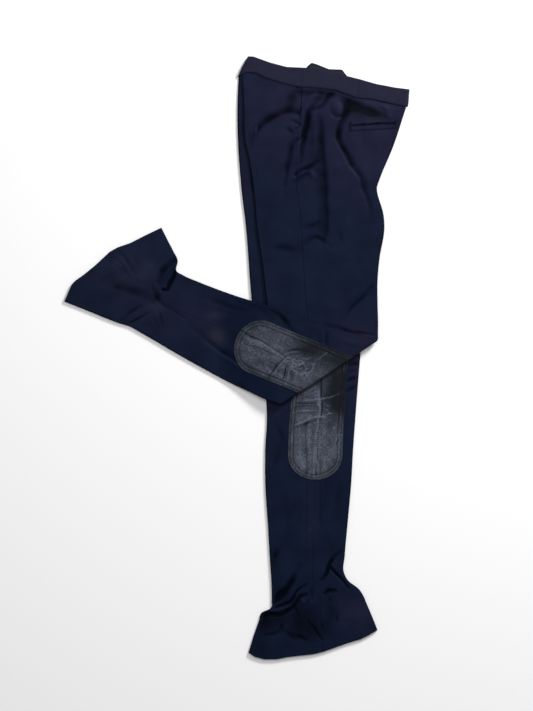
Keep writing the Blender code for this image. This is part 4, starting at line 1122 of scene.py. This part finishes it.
left = LeftHalf()
for part, columns in (("left_front", front_columns), ("left_back", back_columns)):
    sewn_cloth(part, left, panel_places(left, columns), WALL, gabardine)

# ---------------------------------------------------------------------------------------------------------
# Side pocket: the front panel is cut back from the outer seam, and the facing, a strip of the same cloth,
# shows behind its mouth.
FACING_DEPTH = 0.5
FACING_LENGTH = 100
FACING_ACROSS = (-19, 6)  # its edges, from the outer seam
FACING_CELLS = 10
rows = [row for row in rows_down(LEFT_STATIONS) if row[1] > LEFT_STATIONS[0][1] - FACING_LENGTH]
places = []
for row in rows:
    front, back = row[0:2], row[2:4]
    width = np.linalg.norm(back - front)
    across = table_value(OUTSEAM, row[1]) * width + np.linspace(*FACING_ACROSS, FACING_CELLS + 1)
    places.append(front + (back - front) * (across / width)[:, None])
places = np.array(places)
lift = np.full(places.shape[:2], -(WALL + SEAM + FACING_DEPTH))
sewn_cloth("left_pocket_facing", left, (places, 0 * lift, lift), LINING_WALL, gabardine)

# ---------------------------------------------------------------------------------------------------------
# Back pocket: two jets, strips of gabardine that are rolled over the edges of the slit, with the mouth
# between them.
POCKET_LEFT = (216, 439.5)
POCKET_RIGHT = (300, 444.5)
JET_MOUTH = 1.6
JET_WALL = 1.0
JET_CELLS = 60
# From the slit outward: each jet starts inside the pocket, rolls over the slit's edge and lies flat
JET_PROFILE = ((0.1, -0.9), (0, -0.1), (0.3, 0.9), (1.2, 1.6), (2.6, 1.9), (4.4, 1.8), (6.4, 1.6),
               (7.8, 1.4), (8.6, 1.1))      # from the mouth, height above the panel
for part, side in (("upper", 1), ("lower", -1)):
    depth, lift = np.array(JET_PROFILE[::-side]).T
    across = np.linspace(0, 1, JET_CELLS + 1)[None, :, None]
    line = np.array(POCKET_LEFT, float) * (1 - across) + np.array(POCKET_RIGHT, float) * across
    places = line + (side * (JET_MOUTH / 2 + depth))[:, None, None] * np.array((0.0, 1.0))
    lift = np.repeat(lift[:, None], JET_CELLS + 1, axis=1)
    sewn_cloth("left_pocket_jet_" + part, left, (places, 0 * lift, lift), JET_WALL, gabardine)

# Bar tacks: close stitches over both ends of the pocket and the lower end of the side pocket's mouth
TACKS = (((301, 436), (302, 454)), ((215, 432), (215, 449)), ((111, 437), (117, 439)))
TACK_SPREAD = (-0.9, 0, 0.9)
TACK_PITCH = 2.0
TACK_HEIGHT = 2.2
rows = [np.array(ends, float) + (shift, 0) for ends in TACKS[:2] for shift in TACK_SPREAD] \
    + [np.array(TACKS[2], float) + (0, shift) for shift in TACK_SPREAD]
stitches("left_pocket_bar_tacks", left, rows, 0.0, TACK_HEIGHT, TACK_PITCH, TACK_PITCH,
         sewing_thread["navy"])

# ---------------------------------------------------------------------------------------------------------
# Left half's waistband: three pieces of the same cloth as the right half's, joined by two seams, over the
# panels' upper edges.
LEFT_BAND_SEAM = (4, 535.5, 321.5, 475)
LEFT_BAND_TOP = (19, 572, 327.8, 509.2)
LEFT_TOP_WAVE = ((19, 0), (30, 2), (62, -3), (93, -5), (131, 1), (210, 1), (232, 0), (278, -4), (328, 0))
BAND_SEAMS = (0.37, 0.71)
BAND_SINK = 3.2           # how far the band's top edge lies below its seam edge
BAND_CROWN = 0.5          # how much its middle bulges
SEAM_ROLL = 0.7           # how far its lower edge rolls in to the seam, over this share of its width
SEAM_ROLL_SHARE = 0.12
JOIN_LEAN = -0.03
BAND_PIECES = (("front", (0, BAND_SEAMS[0]), (True, False)),
               ("side", BAND_SEAMS, (False, False)),
               ("back", (BAND_SEAMS[1], 1), (False, True)))


def band_height(f):
    """How far the band stands above the panels, from its seam edge to its top edge."""
    crown = BAND_CROWN * math.sin(math.pi * f) ** 0.5
    roll = SEAM_ROLL * (1 - ease(f, 0, SEAM_ROLL_SHARE))
    return SEAM + BAND_WALL - BAND_SINK * ease(f, 0, 1) + crown - roll


for part, shares, curl in BAND_PIECES:
    strip = band_places(left, LEFT_BAND_SEAM, LEFT_BAND_TOP, LEFT_TOP_WAVE, shares, curl, 0.0, band_height,
                        lean=JOIN_LEAN)
    sewn_cloth("waistband_left_" + part, left, strip, BAND_WALL, band_cloth)

# ---------------------------------------------------------------------------------------------------------
# Left knee patch: the same patch, wrapped round the fold of the knee and worn in a star of creases.
PATCH_LEFT = ((171, 35, 0.45), (171, -26.2, 1), (171, -44, 1), (171, -85, 0.7), (170.5, -130, 0.35),
              (170, -176, 0))
PATCH_LEFT_CREASES = (
    # the leg's seam under it: two lines with a raised band between them
    (((9, 51), (18, 45), (37, 35.6), (56, 24.7), (72, 14), (86, 4.4)), 2.2, 2.2, -1.0, 0.5, 0.8, 0.6),
    (((11, 27.4), (26, 22), (42, 16.6), (58.6, 9.8), (72, 4.4)), 2.2, 2.2, -0.9, 0.5, 0.8, 0.5),
    (((12, 40), (30, 31), (50, 22), (70, 10), (86, 0)), 6, 6, 0.6, 0.1, 0.7, 0.9),
    # star of creases at the knee
    (((83, 1.6), (94, 8.4), (105, 11), (118, 9.8)), 2, 2, 1.0, 0.5, 0.7, 0.4),
    (((94, 12), (112, 16), (129, 12)), 3, 3, -0.5, 0.3, 0.5, 0.4),
    (((96, -4), (103, -9), (108, -15)), 1.8, 1.8, -0.9, 0.3, 0.6, 0.6),
    (((102, 0), (112, -4), (119, -10)), 1.8, 1.8, -0.8, 0.3, 0.6, 0.6),
    (((116, -19), (124, -17), (131, -12)), 1.8, 1.8, -0.8, 0.3, 0.6, 0.6),
    (((92, -14), (91, -26), (87, -38)), 2, 2, -0.8, 0.3, 0.6, 0.4),
    (((100, -25), (103, -36), (101, -46)), 2, 2, -0.7, 0.3, 0.6, 0.4),
    (((96, -1), (107, -2.4), (115, -8), (118, -16)), 2, 2, 1.3, 0.4, 0.8, 0.4),
    (((99, -6.5), (105, -12), (102, -17.4), (110, -17.4)), 2.2, 2.2, 1.4, 0.4, 0.7, 0.6),
    (((95, 1.6), (86, -9), (75, -23), (64, -39)), 2.2, 2.2, 1.0, 0.5, 0.8, 0.5),
    (((91, 3), (81, -9), (70, -23), (59, -38)), 2.6, 2.6, -0.9, 0.5, 0.6, 0.5),
    (((101, -20), (95, -34), (90, -51)), 2, 2, 1.0, 0.4, 0.7, 0.4),
    (((96, -12), (90, -27), (85, -45)), 2.4, 2.4, -0.7, 0.4, 0.6, 0.3),
    (((113, -17), (121, -12), (128, -17), (129, -25)), 2.2, 2.2, 1.2, 0.4, 0.6, 0.4),
    (((129, -36), (140, -25), (145, -12)), 2.6, 2.6, 1.1, 0.3, 0.5, 0.5),
    (((110, -42), (121, -31), (137, -28)), 2.4, 2.4, 0.9, 0.3, 0.4, 0.4),
    (((106, -24), (110, -33), (108, -46)), 2.4, 2.4, 0.8, 0.3, 0.5, 0.3),
    (((122, -2), (132, -4), (141, 0)), 2.4, 2.4, 0.9, 0.3, 0.5, 0.3),
    (((104, 4), (116, 3), (126, 5)), 2.2, 2.2, 0.8, 0.3, 0.6, 0.3),
    (((115, -24), (126, -32), (131, -43)), 2.4, 2.4, -0.7, 0.3, 0.4, 0.4),
    (((60, -4), (72, -14), (80, -26)), 2.6, 2.6, -0.5, 0.3, 0.3, 0.3),
    (((48, -8), (58, -20), (64, -30)), 3, 3, 0.5, 0.3, 0.3, 0.3),
    (((148, -8), (160, 2), (170, 10)), 3, 3, 0.6, 0.2, 0.3, 0.3),
)
# Short bare places in the star: one end, the other, height
BARE_PLACES = (
    ((99, -4), (106, -8), 2.4), ((105, -11), (112, -14), 2.3), ((111, -17), (118, -15), 2.2),
    ((97, 1), (103, -3), 2.2), ((92, -9), (97, -5), 2.0), ((117, -6), (124, -9), 2.0),
    ((129, -23), (135, -20), 2.2), ((141, -15), (146, -10), 1.9), ((103, -21), (109, -27), 1.1),
    ((97, -31), (95, -41), 1.0), ((113, -27), (112, -37), 0.9), ((121, -36), (128, -28), 0.9),
    ((88, -16), (83, -24), 0.8),
)
BARE_PLACE = (1.8, 1.8)   # half widths
BARE_CRISP = (0.3, 0.6, 0.6)
LEFT_PATCH_TONE = ((50, 20, 40, 9, 0.2), (30, 10, 40, 30, 0.1), (88, -22, 24, 24, 0.02),
                   (106, -8, 16, 12, 0.1), (126, -30, 26, 14, 0.08), (134, 20, 42, 20, -0.28),
                   (184, -4, 42, 28, -0.31), (208, -12, 22, 20, -0.14), (128, 12, 24, 14, -0.12))
bare_places = tuple(((start, end), *BARE_PLACE, height, *BARE_CRISP) for start, end, height in BARE_PLACES)
left_wrinkles = PATCH_LEFT_CREASES + bare_places
left_outline = patch_outline(PATCH_LEFT)
patch_stitches("knee_patch_left_stitches", left, left_outline, math.pi, left_wrinkles)
knee_patch("knee_patch_left", left, left_outline, math.pi, left_wrinkles, LEFT_PATCH_TONE)

# ---------------------------------------------------------------------------------------------------------
# Studio: a plain pale floor, a broad soft light overhead, a smaller one from the top right, and white light
# from the world all round.
FLOOR_SIZE = 7.0
FLOOR_BELOW = 0.5         # just under the cloth
FLOOR_WHITE = "#fafafa"
LIGHTS = (("overhead", (0.2, 0.6, 3.0), 1.8, 32), ("from_top_right", (1.9, 2.3, 1.9), 0.9, 105))
FILL = 0.3
CAMERA_HEIGHT = 8.0
VIEW_MIDDLE = (56.8, 3.1)
VIEW_HEIGHT = 1350.9
mesh = bpy.data.meshes.new("floor")
reach = FLOOR_SIZE / 2
mesh.from_pydata([(-reach, -reach, 0), (reach, -reach, 0), (reach, reach, 0), (-reach, reach, 0)], [],
                 [(0, 1, 2, 3)])
floor = bpy.data.objects.new("floor", mesh)
bpy.context.collection.objects.link(floor)
floor.location.z = -FLOOR_BELOW * MM
paper, tree, shader = new_material("white_paper")
set_node(shader, {"Base Color": linear(FLOOR_WHITE), "Roughness": 0.9, "Specular IOR Level": 0.1})
mesh.materials.append(paper)

for name, place, size, power in LIGHTS:
    lamp = bpy.data.lights.new(name, "AREA")
    lamp.shape = "DISK"
    lamp.size = size
    lamp.energy = power
    light = bpy.data.objects.new(name, lamp)
    light.location = place
    light.rotation_euler = (-Vector(place)).to_track_quat("-Z", "Y").to_euler()
    light.visible_camera = False
    bpy.context.collection.objects.link(light)

world = bpy.data.worlds.new("studio")
world.use_nodes = True
world.node_tree.nodes["Background"].inputs["Color"].default_value = (1, 1, 1, 1)
world.node_tree.nodes["Background"].inputs["Strength"].default_value = FILL
bpy.context.scene.world = world

lens = bpy.data.cameras.new("camera")
lens.lens = lens.sensor_width * CAMERA_HEIGHT / (VIEW_HEIGHT * MM)
camera = bpy.data.objects.new("camera", lens)
camera.location = (VIEW_MIDDLE[0] * MM, VIEW_MIDDLE[1] * MM, CAMERA_HEIGHT)
bpy.context.collection.objects.link(camera)
bpy.context.scene.camera = camera
